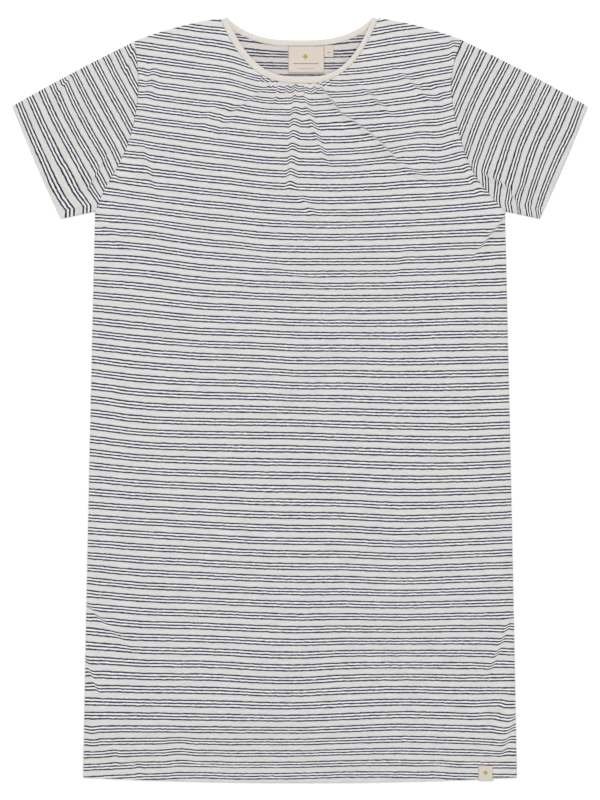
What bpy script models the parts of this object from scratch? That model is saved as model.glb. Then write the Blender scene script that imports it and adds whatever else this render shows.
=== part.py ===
# A nightshirt of striped jersey with short set-in sleeves, laid flat on its back.
#
# It lies on the plane z = 0 with +Z up, its neck towards +Y and the wearer's left
# sleeve towards +X. The origin is under the middle of its footprint. The named sizes
# are in millimetres, and the meshes are in metres.

import math
from collections import namedtuple

import bmesh
import bpy
import numpy as np
from mathutils.geometry import delaunay_2d_cdt

MM = 0.001

# The cloth, and how its layers lie on each other
WALL = 1.2  # thickness of the jersey, with its give
GAP = 0.3  # between two pieces that touch or are sewn together
FRONT_BASE = WALL + GAP  # where the front starts, lying on the back
SEAM = 0.3  # how far each side of an armhole seam is set back, sideways

# The body's outline
LENGTH = 930.0  # shoulder beside the neck to the middle of the hem
TOP = LENGTH / 2
HEM = -LENGTH / 2
CHEST_HALF_WIDTH = 249.0  # at the underarm
HEM_HALF_WIDTH = 263.5
SIDE_BOW = 0.5  # how far the side seams bow outwards
UNDERARM = 229.6  # height of the underarm point
HEM_LIFT = 6.4  # how much higher the hem lies at the side seams than in the middle
HEM_CURVE = 2.2  # power of that rise
SHOULDER_START = (96.4, 463.9)  # where the shoulder seam leaves the neck
SHOULDER_END = (201.0, 436.0)
SHOULDER_BOW = 3.3  # how far the shoulder line bows upwards

# The neckline's free edge, front and back: its height in the middle, its half width at
# the shoulder, its height there, and the power of the curve between them
Neckline = namedtuple("Neckline", "middle half_width top power binding")
FRONT_NECK = Neckline(middle=392.8, half_width=88.6, top=TOP, power=3.2, binding=8.0)
BACK_NECK = Neckline(middle=437.4, half_width=88.6, top=TOP, power=2.95, binding=7.0)

# The armhole seam: its distance from the middle, on each side, at each height. The
# first row is the shoulder's end and the last one the underarm.
Armhole = namedtuple("Armhole", "height right left")
ARMHOLE = [
    Armhole(height=434.4, right=201.0, left=196.5),
    Armhole(height=410.0, right=198.0, left=187.3),
    Armhole(height=380.0, right=196.8, left=184.0),
    Armhole(height=345.0, right=200.5, left=188.3),
    Armhole(height=310.0, right=209.8, left=197.7),
    Armhole(height=280.0, right=224.0, left=209.0),
    Armhole(height=255.0, right=238.0, left=226.3),
    Armhole(height=229.6, right=249.0, left=249.0),
]

# The sleeves
CUFF_TOP = (349.6, 357.3)
CUFF_BOTTOM = (291.0, 220.5)
SLEEVE_TOP_BOW = 1.5
CUFF_BOW = 1.3
SLEEVE_SECTIONS = 14
SLEEVE_STOPS = 16

# The labels: left, right, bottom and top edges
Label = namedtuple("Label", "left right bottom top thickness curl")
NECK_LABEL = Label(left=-14.0, right=29.2, bottom=397.8, top=430.1, thickness=0.8, curl=0.4)
SIZE_TAB = Label(left=29.7, right=40.6, bottom=416.9, top=431.2, thickness=0.8, curl=0.3)
HEM_LABEL = Label(left=216.8, right=234.1, bottom=-462.3, top=-444.4, thickness=1.0, curl=0.0)
HEM_LABEL_LIP = 1.0  # thickness of its fold, just past the hem's edge

# How full the layers lie
LOFT = 1.6  # rise of the upper layer away from its seams
LOFT_REACH = 26.0  # distance from a seam at which most of that rise is reached
LOFT_AT_NECK = 0.5  # share of it that is left beside the front binding
FADE_REACH = 7.0  # distance from a seam at which a crease has its full height
NECK_LIFT = 1.0  # extra rise round the gathers in the middle of the front binding
NECK_LIFT_REACH = 75.0
CREASE_UNDER_BINDING = 0.35  # share of a crease that still lifts the front binding
BINDING_THICKNESS = 2.3
BACK_BINDING_EXTRA = 0.7  # how much thicker the back binding is where it shows

# Broad soft swells of the upper layer
Swell = namedtuple("Swell", "name x y reach_x reach_y height")
SWELLS = [
    Swell("chest", x=-70, y=300, reach_x=70, reach_y=60, height=1.0),
    Swell("waist", x=60, y=120, reach_x=90, reach_y=70, height=1.1),
    Swell("right hip", x=-120, y=-60, reach_x=60, reach_y=120, height=0.9),
    Swell("left hip", x=110, y=-180, reach_x=70, reach_y=110, height=1.0),
    Swell("above the hem", x=-30, y=-370, reach_x=130, reach_y=50, height=1.0),
]

# Creases and gathers of the upper layer: each a ridge from its start to its end, with
# half its width, its height, and the share of that height that it has at its start.
Crease = namedtuple("Crease", "name x0 y0 x1 y1 width height at_start")
CREASES = [
    Crease("middle fold", x0=-5, y0=383, x1=-16, y1=250, width=7, height=2.6, at_start=0.5),
    Crease("fold beside it", x0=4, y0=383, x1=27, y1=303, width=6.5, height=2.3, at_start=0.5),
    Crease("slanting fold", x0=29, y0=384, x1=102, y1=314, width=9, height=3.6, at_start=0.5),
    Crease("its lower end", x0=92, y0=322, x1=160, y1=271, width=9, height=2.4, at_start=0),
    Crease("right pinch", x0=-44, y0=374, x1=-87, y1=346, width=7, height=1.6, at_start=0),
    Crease("left yoke", x0=150, y0=386, x1=177, y1=358, width=8, height=1.6, at_start=0),
    Crease("right yoke", x0=-184, y0=404, x1=-183, y1=342, width=7, height=1.6, at_start=0),
    Crease("left underarm", x0=248, y0=216, x1=199, y1=162, width=9, height=2.8, at_start=0),
    Crease("right underarm", x0=-248, y0=222, x1=-205, y1=178, width=9, height=1.8, at_start=0),
    Crease("right side", x0=-252, y0=-245, x1=-238, y1=-375, width=9, height=1.5, at_start=0),
    Crease("left side", x0=250, y0=-250, x1=256, y1=-420, width=9, height=1.6, at_start=0),
    Crease("left sleeve fold", x0=230, y0=271, x1=264, y1=240, width=6, height=2.6, at_start=0),
    Crease("left sleeve cup", x0=238, y0=262, x1=243, y1=238, width=5, height=1.8, at_start=0),
    Crease("right sleeve top", x0=-203, y0=427, x1=-214, y1=393, width=5, height=1.4, at_start=0),
    Crease("right sleeve fold", x0=-262, y0=270, x1=-250, y1=246, width=6, height=1.9, at_start=0),
    Crease("right cuff fold", x0=-291, y0=244, x1=-272, y1=232, width=6, height=1.8, at_start=0),
]
Gather = namedtuple("Gather", "x length width height")
GATHERS = [
    Gather(x=-46, length=13, width=2.8, height=0.9),
    Gather(x=-39, length=15, width=2.8, height=1.1),
    Gather(x=-32, length=18, width=2.8, height=1.2),
    Gather(x=-25.5, length=17, width=2.6, height=1.2),
    Gather(x=-19, length=36, width=3.4, height=1.6),
    Gather(x=-12, length=15, width=2.6, height=1.1),
    Gather(x=10.5, length=13, width=2.6, height=1.0),
    Gather(x=17.5, length=17, width=3.0, height=1.3),
    Gather(x=24, length=12, width=2.6, height=1.0),
    Gather(x=37, length=14, width=3.0, height=1.1),
]
GATHER_SPREAD = 0.12  # how far a gather leans outwards for each millimetre from the middle

# How finely the panels are divided
GRID_STEP = 24.0
EDGE_STEP = 20.0
NECK_STEP = 4.5
CREASE_STATION = 10.0
CLOSEST = 1.7  # no two inner points lie closer than this


def smooth_step(t):
    t = min(1.0, max(0.0, t))
    return t * t * (3 - 2 * t)


def bowed_line(start, end, bow, count):
    """Points from start to end on a shallow arch, bow high to the left of the way."""
    (x0, y0), (x1, y1) = start, end
    length = math.hypot(x1 - x0, y1 - y0)
    left = (-(y1 - y0) / length, (x1 - x0) / length)
    points = []
    for i in range(count + 1):
        t = i / count
        arch = bow * 4 * t * (1 - t)
        points.append((x0 + (x1 - x0) * t + left[0] * arch, y0 + (y1 - y0) * t + left[1] * arch))
    return points


def smooth_line(points, per_span):
    """A Catmull-Rom curve through the points, with its end tangents along its end spans."""
    padded = [points[0], *points, points[-1]]
    curve = []
    for a, b, c, d in zip(padded, padded[1:], padded[2:], padded[3:]):
        for i in range(per_span):
            t = i / per_span
            curve.append(
                tuple(
                    0.5
                    * (
                        2 * b[k]
                        + (c[k] - a[k]) * t
                        + (2 * a[k] - 5 * b[k] + 4 * c[k] - d[k]) * t**2
                        + (3 * b[k] - a[k] - 3 * c[k] + d[k]) * t**3
                    )
                    for k in (0, 1)
                )
            )
    return curve + [tuple(points[-1])]


def spaced(points, count):
    """The same line with count + 1 points at even distances along it."""
    line = np.array(points, dtype=float)
    steps = np.hypot(*np.diff(line, axis=0).T)
    run = np.concatenate(([0.0], np.cumsum(steps)))
    wanted = np.linspace(0.0, run[-1], count + 1)
    return list(zip(np.interp(wanted, run, line[:, 0]), np.interp(wanted, run, line[:, 1])))


def offset_line(points, distance):
    """The line moved to the right of its way by distance."""
    line = np.array(points, dtype=float)
    way = np.gradient(line, axis=0)
    way /= np.hypot(way[:, 0], way[:, 1])[:, None]
    moved = line + distance * np.column_stack((way[:, 1], -way[:, 0]))
    return [tuple(p) for p in moved]


def neck_edge(neck, count):
    """The neckline's free edge, from -X to +X."""
    points = []
    for i in range(4 * count + 1):
        x = neck.half_width * (i / (2 * count) - 1)
        depth = (neck.top - neck.middle) * (abs(x) / neck.half_width) ** neck.power
        points.append((x, neck.middle + depth))
    return spaced(points, count)


def sewn_edge(neck):
    """Where the panel meets the binding, one gap from it, from -X to +X."""
    edge = neck_edge(neck, round(3 * neck.half_width / NECK_STEP))
    return offset_line(edge, neck.binding + GAP)


def hem_height(x):
    return HEM + HEM_LIFT * (abs(x) / HEM_HALF_WIDTH) ** HEM_CURVE


def armhole_line(side):
    """The armhole seam from the shoulder to the underarm; side is -1 or 1 for -X or +X."""
    rows = [(side * (row.left if side > 0 else row.right), row.height) for row in ARMHOLE]
    rows[0] = shoulder_point(side)
    return spaced(smooth_line(rows, 4), SLEEVE_STOPS)


def shoulder_line(side):
    """The top edge from the neck to the armhole seam."""
    start = (side * SHOULDER_START[0], SHOULDER_START[1])
    end = (side * SHOULDER_END[0], SHOULDER_END[1])
    whole = bowed_line(start, end, side * SHOULDER_BOW, 24)
    reach = ARMHOLE[0].left if side > 0 else ARMHOLE[0].right
    kept = [p for p in whole if abs(p[0]) < reach - GAP]
    height = np.interp(reach, [abs(p[0]) for p in whole], [p[1] for p in whole])
    return spaced([*kept, (side * reach, float(height))], 5)


def shoulder_point(side):
    return shoulder_line(side)[-1]


def body_outline(neck):
    """A panel's outline, anticlockwise from the neckline's end at -X."""
    right_side = [(HEM_HALF_WIDTH, hem_height(HEM_HALF_WIDTH)), (CHEST_HALF_WIDTH, UNDERARM)]
    rows = round(LENGTH / 2 / EDGE_STEP)
    side_seam = bowed_line(right_side[0], right_side[1], -SIDE_BOW, rows)
    columns = round(2 * HEM_HALF_WIDTH / EDGE_STEP)
    across = [HEM_HALF_WIDTH * (2 * i / columns - 1) for i in range(1, columns)]
    halves = {}
    for side in (-1, 1):
        armhole = [(x - side * SEAM, y) for x, y in armhole_line(side)]
        shoulder = [(x - side * SEAM, y) for x, y in shoulder_line(side)]
        down = [*shoulder[:-1], *armhole[:-1]]
        halves[side] = down + [(side * x, y) for x, y in reversed(side_seam)]
    hem = [(x, hem_height(x)) for x in across]
    neckline = sewn_edge(neck)
    return halves[-1] + hem + halves[1][::-1] + neckline[::-1]


def line_distance(line, x, y):
    """The shortest distance from a point to a line of points."""
    a = np.array(line[:-1], dtype=float)
    b = np.array(line[1:], dtype=float)
    span = b - a
    t = ((x - a[:, 0]) * span[:, 0] + (y - a[:, 1]) * span[:, 1]) / (span**2).sum(axis=1)
    near = a + np.clip(t, 0.0, 1.0)[:, None] * span
    return float(np.hypot(near[:, 0] - x, near[:, 1] - y).min())


def seams_of_body():
    """The front's outline without its neckline, which the creases start from."""
    whole = body_outline(FRONT_NECK)
    return whole[: len(whole) - len(sewn_edge(FRONT_NECK))]


def gather_creases():
    """The gathers as creases that hang from the front binding and lean outwards."""
    edge = sewn_edge(FRONT_NECK)
    rows = []
    for number, row in enumerate(GATHERS, start=1):
        top = float(np.interp(row.x, [p[0] for p in edge], [p[1] for p in edge]))
        end_x = row.x * (1 + GATHER_SPREAD * row.length / 10)
        end = (end_x, top - row.length)
        rows.append(Crease(f"gather {number}", row.x, top, *end, row.width, row.height, 0.5))
    return rows


def crease_rise(row, x, y):
    """How high a crease lifts the cloth at a point."""
    way = (row.x1 - row.x0, row.y1 - row.y0)
    length = math.hypot(*way)
    along = ((x - row.x0) * way[0] + (y - row.y0) * way[1]) / length**2
    across = ((x - row.x0) * way[1] - (y - row.y0) * way[0]) / length
    before = -along * length
    if along > 1 or abs(across) > row.width or before > row.width:
        return 0.0
    start = row.at_start + (1 - row.at_start) * smooth_step(along / 0.3)
    end = smooth_step((1 - along) / 0.5)
    return row.height * start * end * math.cos(math.pi * across / 2 / row.width) ** 2


def bump(x, y, middle_x, middle_y, reach_x, reach_y):
    return math.exp(-(((x - middle_x) / reach_x) ** 2) - ((y - middle_y) / reach_y) ** 2)


def rise_of(seams, neckline, creases):
    """A function of a point and of the share of the creases that counts there: how far
    the upper layer lies above its lowest place."""

    def rise(x, y, crease_share=1.0):
        edge = line_distance(seams, x, y)
        full = LOFT * (1 - math.exp(-edge / LOFT_REACH))
        if neckline:
            from_neck = line_distance(neckline, x, y)
            full *= 1 - (1 - LOFT_AT_NECK) * math.exp(-from_neck / LOFT_REACH)
            middle = FRONT_NECK.middle - FRONT_NECK.binding
            full += NECK_LIFT * bump(x, y, 0, middle, NECK_LIFT_REACH, NECK_LIFT_REACH)
        for row in SWELLS:
            full += row.height * bump(x, y, row.x, row.y, row.reach_x, row.reach_y)
        full += crease_share * sum(crease_rise(row, x, y) for row in creases)
        return full * (1 - math.exp(-edge / FADE_REACH))

    return rise


def crease_points(creases):
    """Points along each crease, on its top, its slopes and its feet."""
    points = []
    for row in creases:
        way = np.array((row.x1 - row.x0, row.y1 - row.y0), dtype=float)
        length = float(np.hypot(*way))
        left = np.array((-way[1], way[0])) / length
        stations = max(3, round(length / min(CREASE_STATION, 2.2 * row.width)))
        for i in range(stations + 1):
            middle = np.array((row.x0, row.y0)) + way * i / stations
            for side in (0, -0.5, 0.5, -1, 1):
                points.append(tuple(middle + left * side * row.width))
    return points


def inside(outline, x, y):
    crossings = 0
    for (x0, y0), (x1, y1) in zip(outline, outline[1:] + outline[:1]):
        if (y0 > y) != (y1 > y) and x < x0 + (y - y0) * (x1 - x0) / (y1 - y0):
            crossings += 1
    return crossings % 2 == 1


def grid_points(outline):
    """A grid whose every second row is shifted by half a step."""
    low_x, high_x = min(p[0] for p in outline), max(p[0] for p in outline)
    low_y, high_y = min(p[1] for p in outline), max(p[1] for p in outline)
    points = []
    for row in range(1, int((high_y - low_y) / GRID_STEP) + 1):
        shift = GRID_STEP / 2 * (row % 2)
        for column in range(int((high_x - low_x) / GRID_STEP) + 1):
            points.append((low_x + column * GRID_STEP + shift, low_y + row * GRID_STEP))
    return points


def inner_points(outline, creases):
    """The crease points and then the grid's, kept apart from each other and the edge."""
    closed = outline + outline[:1]
    kept = []
    for points, apart in ((creases, CLOSEST), (grid_points(outline), GRID_STEP * 0.45)):
        for x, y in points:
            if not inside(outline, x, y) or line_distance(closed, x, y) < apart:
                continue
            if kept:
                near = np.array(kept) - (x, y)
                if np.hypot(near[:, 0], near[:, 1]).min() < apart:
                    continue
            kept.append((x, y))
    return kept


def principled(name, colour, roughness):
    material = bpy.data.materials.new(name)
    material.use_nodes = True
    shader = material.node_tree.nodes["Principled BSDF"]
    shader.inputs["Base Color"].default_value = (*colour, 1.0)
    shader.inputs["Roughness"].default_value = roughness
    shader.inputs["Metallic"].default_value = 0.0
    return material


def add_object(name, points, faces, material):
    """A closed solid from points in millimetres."""
    mesh = bpy.data.meshes.new(name)
    mesh.from_pydata([(x * MM, y * MM, z * MM) for x, y, z in points], [], faces)
    solid = bmesh.new()
    solid.from_mesh(mesh)
    bmesh.ops.recalc_face_normals(solid, faces=solid.faces)
    if solid.calc_volume(signed=True) < 0:
        bmesh.ops.reverse_faces(solid, faces=solid.faces)
    solid.to_mesh(mesh)
    solid.free()
    mesh.materials.append(material)
    mesh.shade_smooth()
    mesh.set_sharp_from_angle(angle=math.radians(50))
    made = bpy.data.objects.new(name, mesh)
    bpy.context.collection.objects.link(made)
    return made


def panel(name, outline, creases, height, material):
    """A sheet one wall thick: height gives its underside at each point."""
    flat = outline + inner_points(outline, creases)
    corners = list(range(len(outline)))
    points, _, triangles, *_ = delaunay_2d_cdt(flat, [], [corners], 1, 1e-4)
    under = [(p[0], p[1], height(p[0], p[1])) for p in points]
    over = [(x, y, z + WALL) for x, y, z in under]
    count = len(under)
    uses = {}
    for triangle in triangles:
        for edge in zip(triangle, triangle[1:] + triangle[:1]):
            uses.setdefault(frozenset(edge), []).append(edge)
    rim = [edges[0] for edges in uses.values() if len(edges) == 1]
    faces = [tuple(reversed(triangle)) for triangle in triangles]
    faces += [tuple(i + count for i in triangle) for triangle in triangles]
    faces += [(a, b, b + count, a + count) for a, b in rim]
    return add_object(name, under + over, faces, material)


def sleeve_sections(side):
    """The sleeve's layout: a function of the share of the way to the armhole, u, and the
    share of the way from its top edge to its lower edge, v, each from 0 to 1."""
    armhole = [(x + side * SEAM, y) for x, y in armhole_line(side)]
    cuff_top = (side * CUFF_TOP[0], CUFF_TOP[1])
    cuff_bottom = (side * CUFF_BOTTOM[0], CUFF_BOTTOM[1])
    cuff = bowed_line(cuff_top, cuff_bottom, side * CUFF_BOW, SLEEVE_STOPS)
    top = bowed_line(cuff_top, armhole[0], -side * SLEEVE_TOP_BOW, SLEEVE_SECTIONS)
    low = bowed_line(cuff_bottom, armhole[-1], 0.0, SLEEVE_SECTIONS)

    def at(line, share):
        stops = np.linspace(0, 1, len(line))
        xs, ys = zip(*line)
        return np.array((np.interp(share, stops, xs), np.interp(share, stops, ys)))

    def place(u, v):
        across = (1 - u) * at(cuff, v) + u * at(armhole, v)
        along = (1 - v) * at(top, u) + v * at(low, u)
        corners = (1 - u) * ((1 - v) * at(cuff, 0) + v * at(cuff, 1))
        corners += u * ((1 - v) * at(armhole, 0) + v * at(armhole, 1))
        return across + along - corners

    seams = armhole[::-1] + top[-2::-1] + cuff[1:] + low[1:]
    return place, seams


def ring_stops(length, first, second, third):
    """Shares of a section's length: three stops in millimetres near each end and even
    ones between them."""
    near = [first / length, second / length, third / length]
    far = [1 - s for s in reversed(near)]
    between = np.linspace(near[-1], far[0], SLEEVE_STOPS)[1:-1]
    return [*near, *between, *far]


def sleeve(name, side, material):
    """A flattened tube: the lower layer is flat and the upper one is raised."""
    place, seams = sleeve_sections(side)
    rise = rise_of(seams, None, CREASES)
    middle = WALL + GAP / 2
    points, rings = [], []
    for i in range(SLEEVE_SECTIONS + 1):
        u = i / SLEEVE_SECTIONS
        length = float(np.hypot(*(place(u, 1.0) - place(u, 0.0))))
        # share is how much of its full height each of the first two stops has
        for stops, share, inset in (
            (ring_stops(length, 0.0, 0.8, 2.6), 0.75, 0.0),
            (ring_stops(length, 1.6, 2.2, 3.6), 1.0, WALL),
        ):
            last = len(stops) - 1
            upper, lower = [], []
            for k, v in enumerate(stops):
                x, y = place(u, v)
                part = 0.0 if k in (0, last) else share if k in (1, last - 1) else 1.0
                full = FRONT_BASE + WALL + rise(x, y) - inset
                upper.append((x, y, middle + (full - middle) * part))
                lower.append((x, y, middle + (inset - middle) * part))
            ring = upper + lower[-2:0:-1]
            rings.append(range(len(points), len(points) + len(ring)))
            points += ring
    outer, inner = rings[0::2], rings[1::2]
    size = len(outer[0])
    faces = []
    for k in range(size):
        n = (k + 1) % size
        for a, b in zip(outer, outer[1:]):
            faces.append((a[k], a[n], b[n], b[k]))
        for a, b in zip(inner, inner[1:]):
            faces.append((a[k], b[k], b[n], a[n]))
        for end in (0, -1):
            faces.append((outer[end][k], inner[end][k], inner[end][n], outer[end][n]))
    return add_object(name, points, faces, material)


def binding(name, neck, base, thickness, material):
    """A strip along the neckline's free edge with a flat underside and a rounded top.
    base and thickness give its underside and its height at a point."""
    edge = neck_edge(neck, round(2.6 * neck.half_width / NECK_STEP))
    # each stop is a share of the width from the free edge and a share of the height
    profile = [(0, 0), (0, 0.45), (0.12, 0.8), (0.5, 1.0), (0.88, 0.8), (1, 0.45), (1, 0)]
    lines = [offset_line(edge, share * neck.binding) for share, _ in profile]
    points = []
    for i in range(len(edge)):
        x, y = lines[3][i]
        for line, (_, share) in zip(lines, profile):
            points.append((*line[i], base(x, y) + share * thickness(x, y)))
    size, last = len(profile), len(edge) - 1
    faces = [tuple(range(size)), tuple(last * size + k for k in reversed(range(size)))]
    for i in range(last):
        for k in range(size):
            n = (k + 1) % size
            faces.append((i * size + k, i * size + n, (i + 1) * size + n, (i + 1) * size + k))
    return add_object(name, points, faces, material)


def laid_label(name, label, under, material):
    """A small patch on the cloth; under gives the height of what it lies on."""
    columns, rows = 5, 5
    points = []
    for layer in (0, label.thickness):
        for j in range(rows + 1):
            y = label.top + (label.bottom - label.top) * j / rows
            lift = label.curl * (j / rows) ** 2
            for i in range(columns + 1):
                x = label.left + (label.right - label.left) * i / columns
                points.append((x, y, under(x, y) + GAP + lift + layer))
    wide, layer_size = columns + 1, (columns + 1) * (rows + 1)
    faces = []
    for j in range(rows):
        for i in range(columns):
            a = j * wide + i
            quad = (a, a + 1, a + wide + 1, a + wide)
            faces.append(quad)
            faces.append(tuple(k + layer_size for k in reversed(quad)))
    border = [i for i in range(wide)]
    border += [j * wide + columns for j in range(1, rows + 1)]
    border += [rows * wide + i for i in range(columns - 1, -1, -1)]
    border += [j * wide for j in range(rows - 1, 0, -1)]
    for a, b in zip(border, border[1:] + border[:1]):
        faces.append((a, b, b + layer_size, a + layer_size))
    return add_object(name, points, faces, material)


def folded_label(name, label, under, material):
    """A label that lies on the front and is folded down over the hem's edge."""
    sections = 4
    points = []
    for i in range(sections + 1):
        x = label.left + (label.right - label.left) * i / sections
        heights = [(label.top, under(x, label.top) + GAP)]
        middle = (label.top + label.bottom) / 2
        heights.append((middle, under(x, middle) + GAP))
        inner = label.bottom + HEM_LABEL_LIP
        level = under(x, hem_height(x) + GAP) + GAP
        heights.append((inner, level))
        lower = [(x, y, z) for y, z in heights] + [(x, inner, FRONT_BASE)]
        upper = [(x, label.bottom, FRONT_BASE), (x, label.bottom, level)]
        upper += [(x, inner, level + label.thickness)]
        upper += [(x, y, z + label.thickness) for y, z in reversed(heights[:2])]
        points += lower + upper
    size = len(points) // (sections + 1)
    faces = [tuple(range(size)), tuple(sections * size + k for k in reversed(range(size)))]
    for i in range(sections):
        for k in range(size):
            n = (k + 1) % size
            faces.append((i * size + k, i * size + n, (i + 1) * size + n, (i + 1) * size + k))
    return add_object(name, points, faces, material)


def back_binding_thickness(x, y):
    """The back binding is as thin as the cloth where the front lies on its ends."""
    shown = 1 - smooth_step((abs(x) - 62) / 12)
    return WALL + BACK_BINDING_EXTRA * shown


def build():
    for old in list(bpy.data.objects):
        bpy.data.objects.remove(old, do_unlink=True)

    jersey_front = principled("striped jersey front", (0.60, 0.59, 0.57), 0.9)
    jersey_back = principled("striped jersey back", (0.50, 0.49, 0.48), 0.9)
    jersey_sleeve = principled("striped jersey sleeve", (0.62, 0.61, 0.58), 0.9)
    plain_jersey = principled("plain jersey binding", (0.70, 0.66, 0.60), 0.85)
    woven_label = principled("woven label", (0.70, 0.62, 0.53), 0.7)

    creases = CREASES + gather_creases()
    rise = rise_of(seams_of_body(), sewn_edge(FRONT_NECK), creases)

    def front_under(x, y):
        return FRONT_BASE + rise(x, y)

    def front_top(x, y):
        return front_under(x, y) + WALL

    def binding_under(x, y):
        return FRONT_BASE + rise(x, y, CREASE_UNDER_BINDING)

    def binding_thickness(x, y):
        return BINDING_THICKNESS

    def on_the_floor(x, y):
        return 0.0

    def back_top(x, y):
        return WALL

    panel("back_panel", body_outline(BACK_NECK), [], on_the_floor, jersey_back)
    front_points = crease_points(creases)
    panel("front_panel", body_outline(FRONT_NECK), front_points, front_under, jersey_front)
    sleeve("sleeve_right", -1, jersey_sleeve)
    sleeve("sleeve_left", 1, jersey_sleeve)
    binding("neck_binding_back", BACK_NECK, on_the_floor, back_binding_thickness, plain_jersey)
    binding("neck_binding_front", FRONT_NECK, binding_under, binding_thickness, plain_jersey)
    laid_label("neck_label", NECK_LABEL, back_top, woven_label)
    laid_label("size_tab", SIZE_TAB, back_top, woven_label)
    folded_label("hem_label", HEM_LABEL, front_top, woven_label)


build()
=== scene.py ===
# The looks of a nightshirt of striped jersey, laid flat on its back.
#
# Sizes are in millimetres, in the part's own frame: the neck is towards +Y, the wearer's
# left sleeve towards +X, and the cloth lies on z = 0. The pieces are cut from the same
# named sizes as the part's solids, and they are fine meshes with creases, stripes and
# stitching.

import math
from collections import namedtuple

import bmesh
import bpy
import numpy as np
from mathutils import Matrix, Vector
from mathutils.geometry import delaunay_2d_cdt


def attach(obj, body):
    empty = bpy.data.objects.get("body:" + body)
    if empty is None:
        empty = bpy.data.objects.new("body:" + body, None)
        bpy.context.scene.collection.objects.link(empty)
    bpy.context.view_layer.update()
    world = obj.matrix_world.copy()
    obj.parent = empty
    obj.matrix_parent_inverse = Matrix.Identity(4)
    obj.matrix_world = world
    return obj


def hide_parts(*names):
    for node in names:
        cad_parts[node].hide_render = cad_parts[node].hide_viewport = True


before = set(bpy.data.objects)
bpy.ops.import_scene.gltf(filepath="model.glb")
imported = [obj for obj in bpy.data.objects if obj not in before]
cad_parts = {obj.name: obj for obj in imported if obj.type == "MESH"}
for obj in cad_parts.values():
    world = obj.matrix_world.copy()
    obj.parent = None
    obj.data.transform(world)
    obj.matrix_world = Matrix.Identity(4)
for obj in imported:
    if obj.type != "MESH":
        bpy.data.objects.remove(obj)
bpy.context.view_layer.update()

MM = 0.001

# The cloth, and how its layers lie on each other
WALL = 1.2  # height that a layer of jersey takes up
GAP = 0.3  # between two layers
CLOTH = 1.0  # thickness of the jersey itself
FRONT_BASE = WALL + GAP
SEAM = 0.08  # how far each side of an armhole seam is set back, sideways
SEWN = 0.1  # between a neck binding and the cloth that it is sewn to

# The body's outline
LENGTH = 930.0
TOP = LENGTH / 2
HEM = -LENGTH / 2
CHEST_HALF_WIDTH = 249.0
HEM_HALF_WIDTH = 263.5
SIDE_BOW = 0.5  # how far the middle of a side lies out of the straight line
UNDERARM = 229.6
HEM_LIFT = 6.4  # how much higher the hem lies at its ends than in the middle
HEM_CURVE = 2.2  # the power that it rises with
SHOULDER_START = (96.4, 463.9)
SHOULDER_END = (201.0, 436.0)
SHOULDER_BOW = 3.3

# The neckline's free edge, front and back: its lowest point lies beside the middle, and the
# binding lies narrower towards the wearer's left
Neckline = namedtuple("Neckline", "middle lowest half_width top power binding narrower")
FRONT_NECK = Neckline(
    middle=392.8, lowest=3.5, half_width=88.6, top=TOP, power=2.95, binding=8.2, narrower=1.8
)
BACK_NECK = Neckline(
    middle=437.4, lowest=0.0, half_width=88.6, top=TOP, power=2.95, binding=7.0, narrower=0.0
)
NARROWS_FROM = 18.0  # from the middle, towards the wearer's left
NARROWS_OVER = 36.0
BINDING_STEP = 1.6

# The armhole seam: its distance from the middle, on each side, at each height
Armhole = namedtuple("Armhole", "height right left")
ARMHOLE = [
    Armhole(434.4, 201.0, 196.5),
    Armhole(410.0, 198.0, 187.3),
    Armhole(380.0, 196.8, 184.0),
    Armhole(345.0, 200.5, 188.3),
    Armhole(310.0, 209.8, 197.7),
    Armhole(280.0, 224.0, 209.0),
    Armhole(255.0, 238.0, 226.3),
    Armhole(229.6, 249.0, 249.0),
]

# The sleeves
CUFF_TOP = (349.6, 357.3)
CUFF_BOTTOM = (291.0, 220.5)
SLEEVE_TOP_BOW = 1.5
CUFF_BOW = 1.3
CUFF_LENGTH = 150.0  # about, for the knit's fine detail
SLEEVE_RUN_START = 37.0  # makes that detail differ from one sleeve to the other
SLEEVE_SECTIONS = 132
SLEEVE_STOPS = 104

# The labels: their edges
Label = namedtuple("Label", "left right bottom top thickness curl")
NECK_LABEL = Label(left=-14.0, right=29.2, bottom=397.8, top=430.1, thickness=0.7, curl=0.4)
SIZE_TAB = Label(left=29.7, right=40.6, bottom=416.9, top=431.2, thickness=0.7, curl=0.3)
HEM_LABEL = Label(left=216.8, right=234.1, bottom=-462.3, top=-444.4, thickness=0.9, curl=0.0)
HEM_LABEL_LIP = 1.0

# How full the upper layer lies
LOFT = 1.6
LOFT_REACH = 26.0
LOFT_AT_NECK = 0.5
FADE_REACH = 7.0
NECK_LIFT = 1.0
NECK_LIFT_REACH = 75.0
CREASE_UNDER_BINDING = 0.35
BINDING_THICKNESS = 2.3
BACK_BINDING_EXTRA = 0.7  # how much thicker the back binding is where it shows
BACK_BINDING_SHOWN = 62.0  # as far as this from the middle
BACK_BINDING_FADE = 12.0

# Broad soft swells of the upper layer
Swell = namedtuple("Swell", "name x y reach_x reach_y height")
SWELLS = [
    Swell("chest", -70, 300, 70, 60, 1.0),
    Swell("waist", 60, 120, 90, 70, 1.1),
    Swell("right hip", -120, -60, 60, 120, 0.9),
    Swell("left hip", 110, -180, 70, 110, 1.0),
    Swell("above the hem", -30, -370, 130, 50, 1.0),
]

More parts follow.
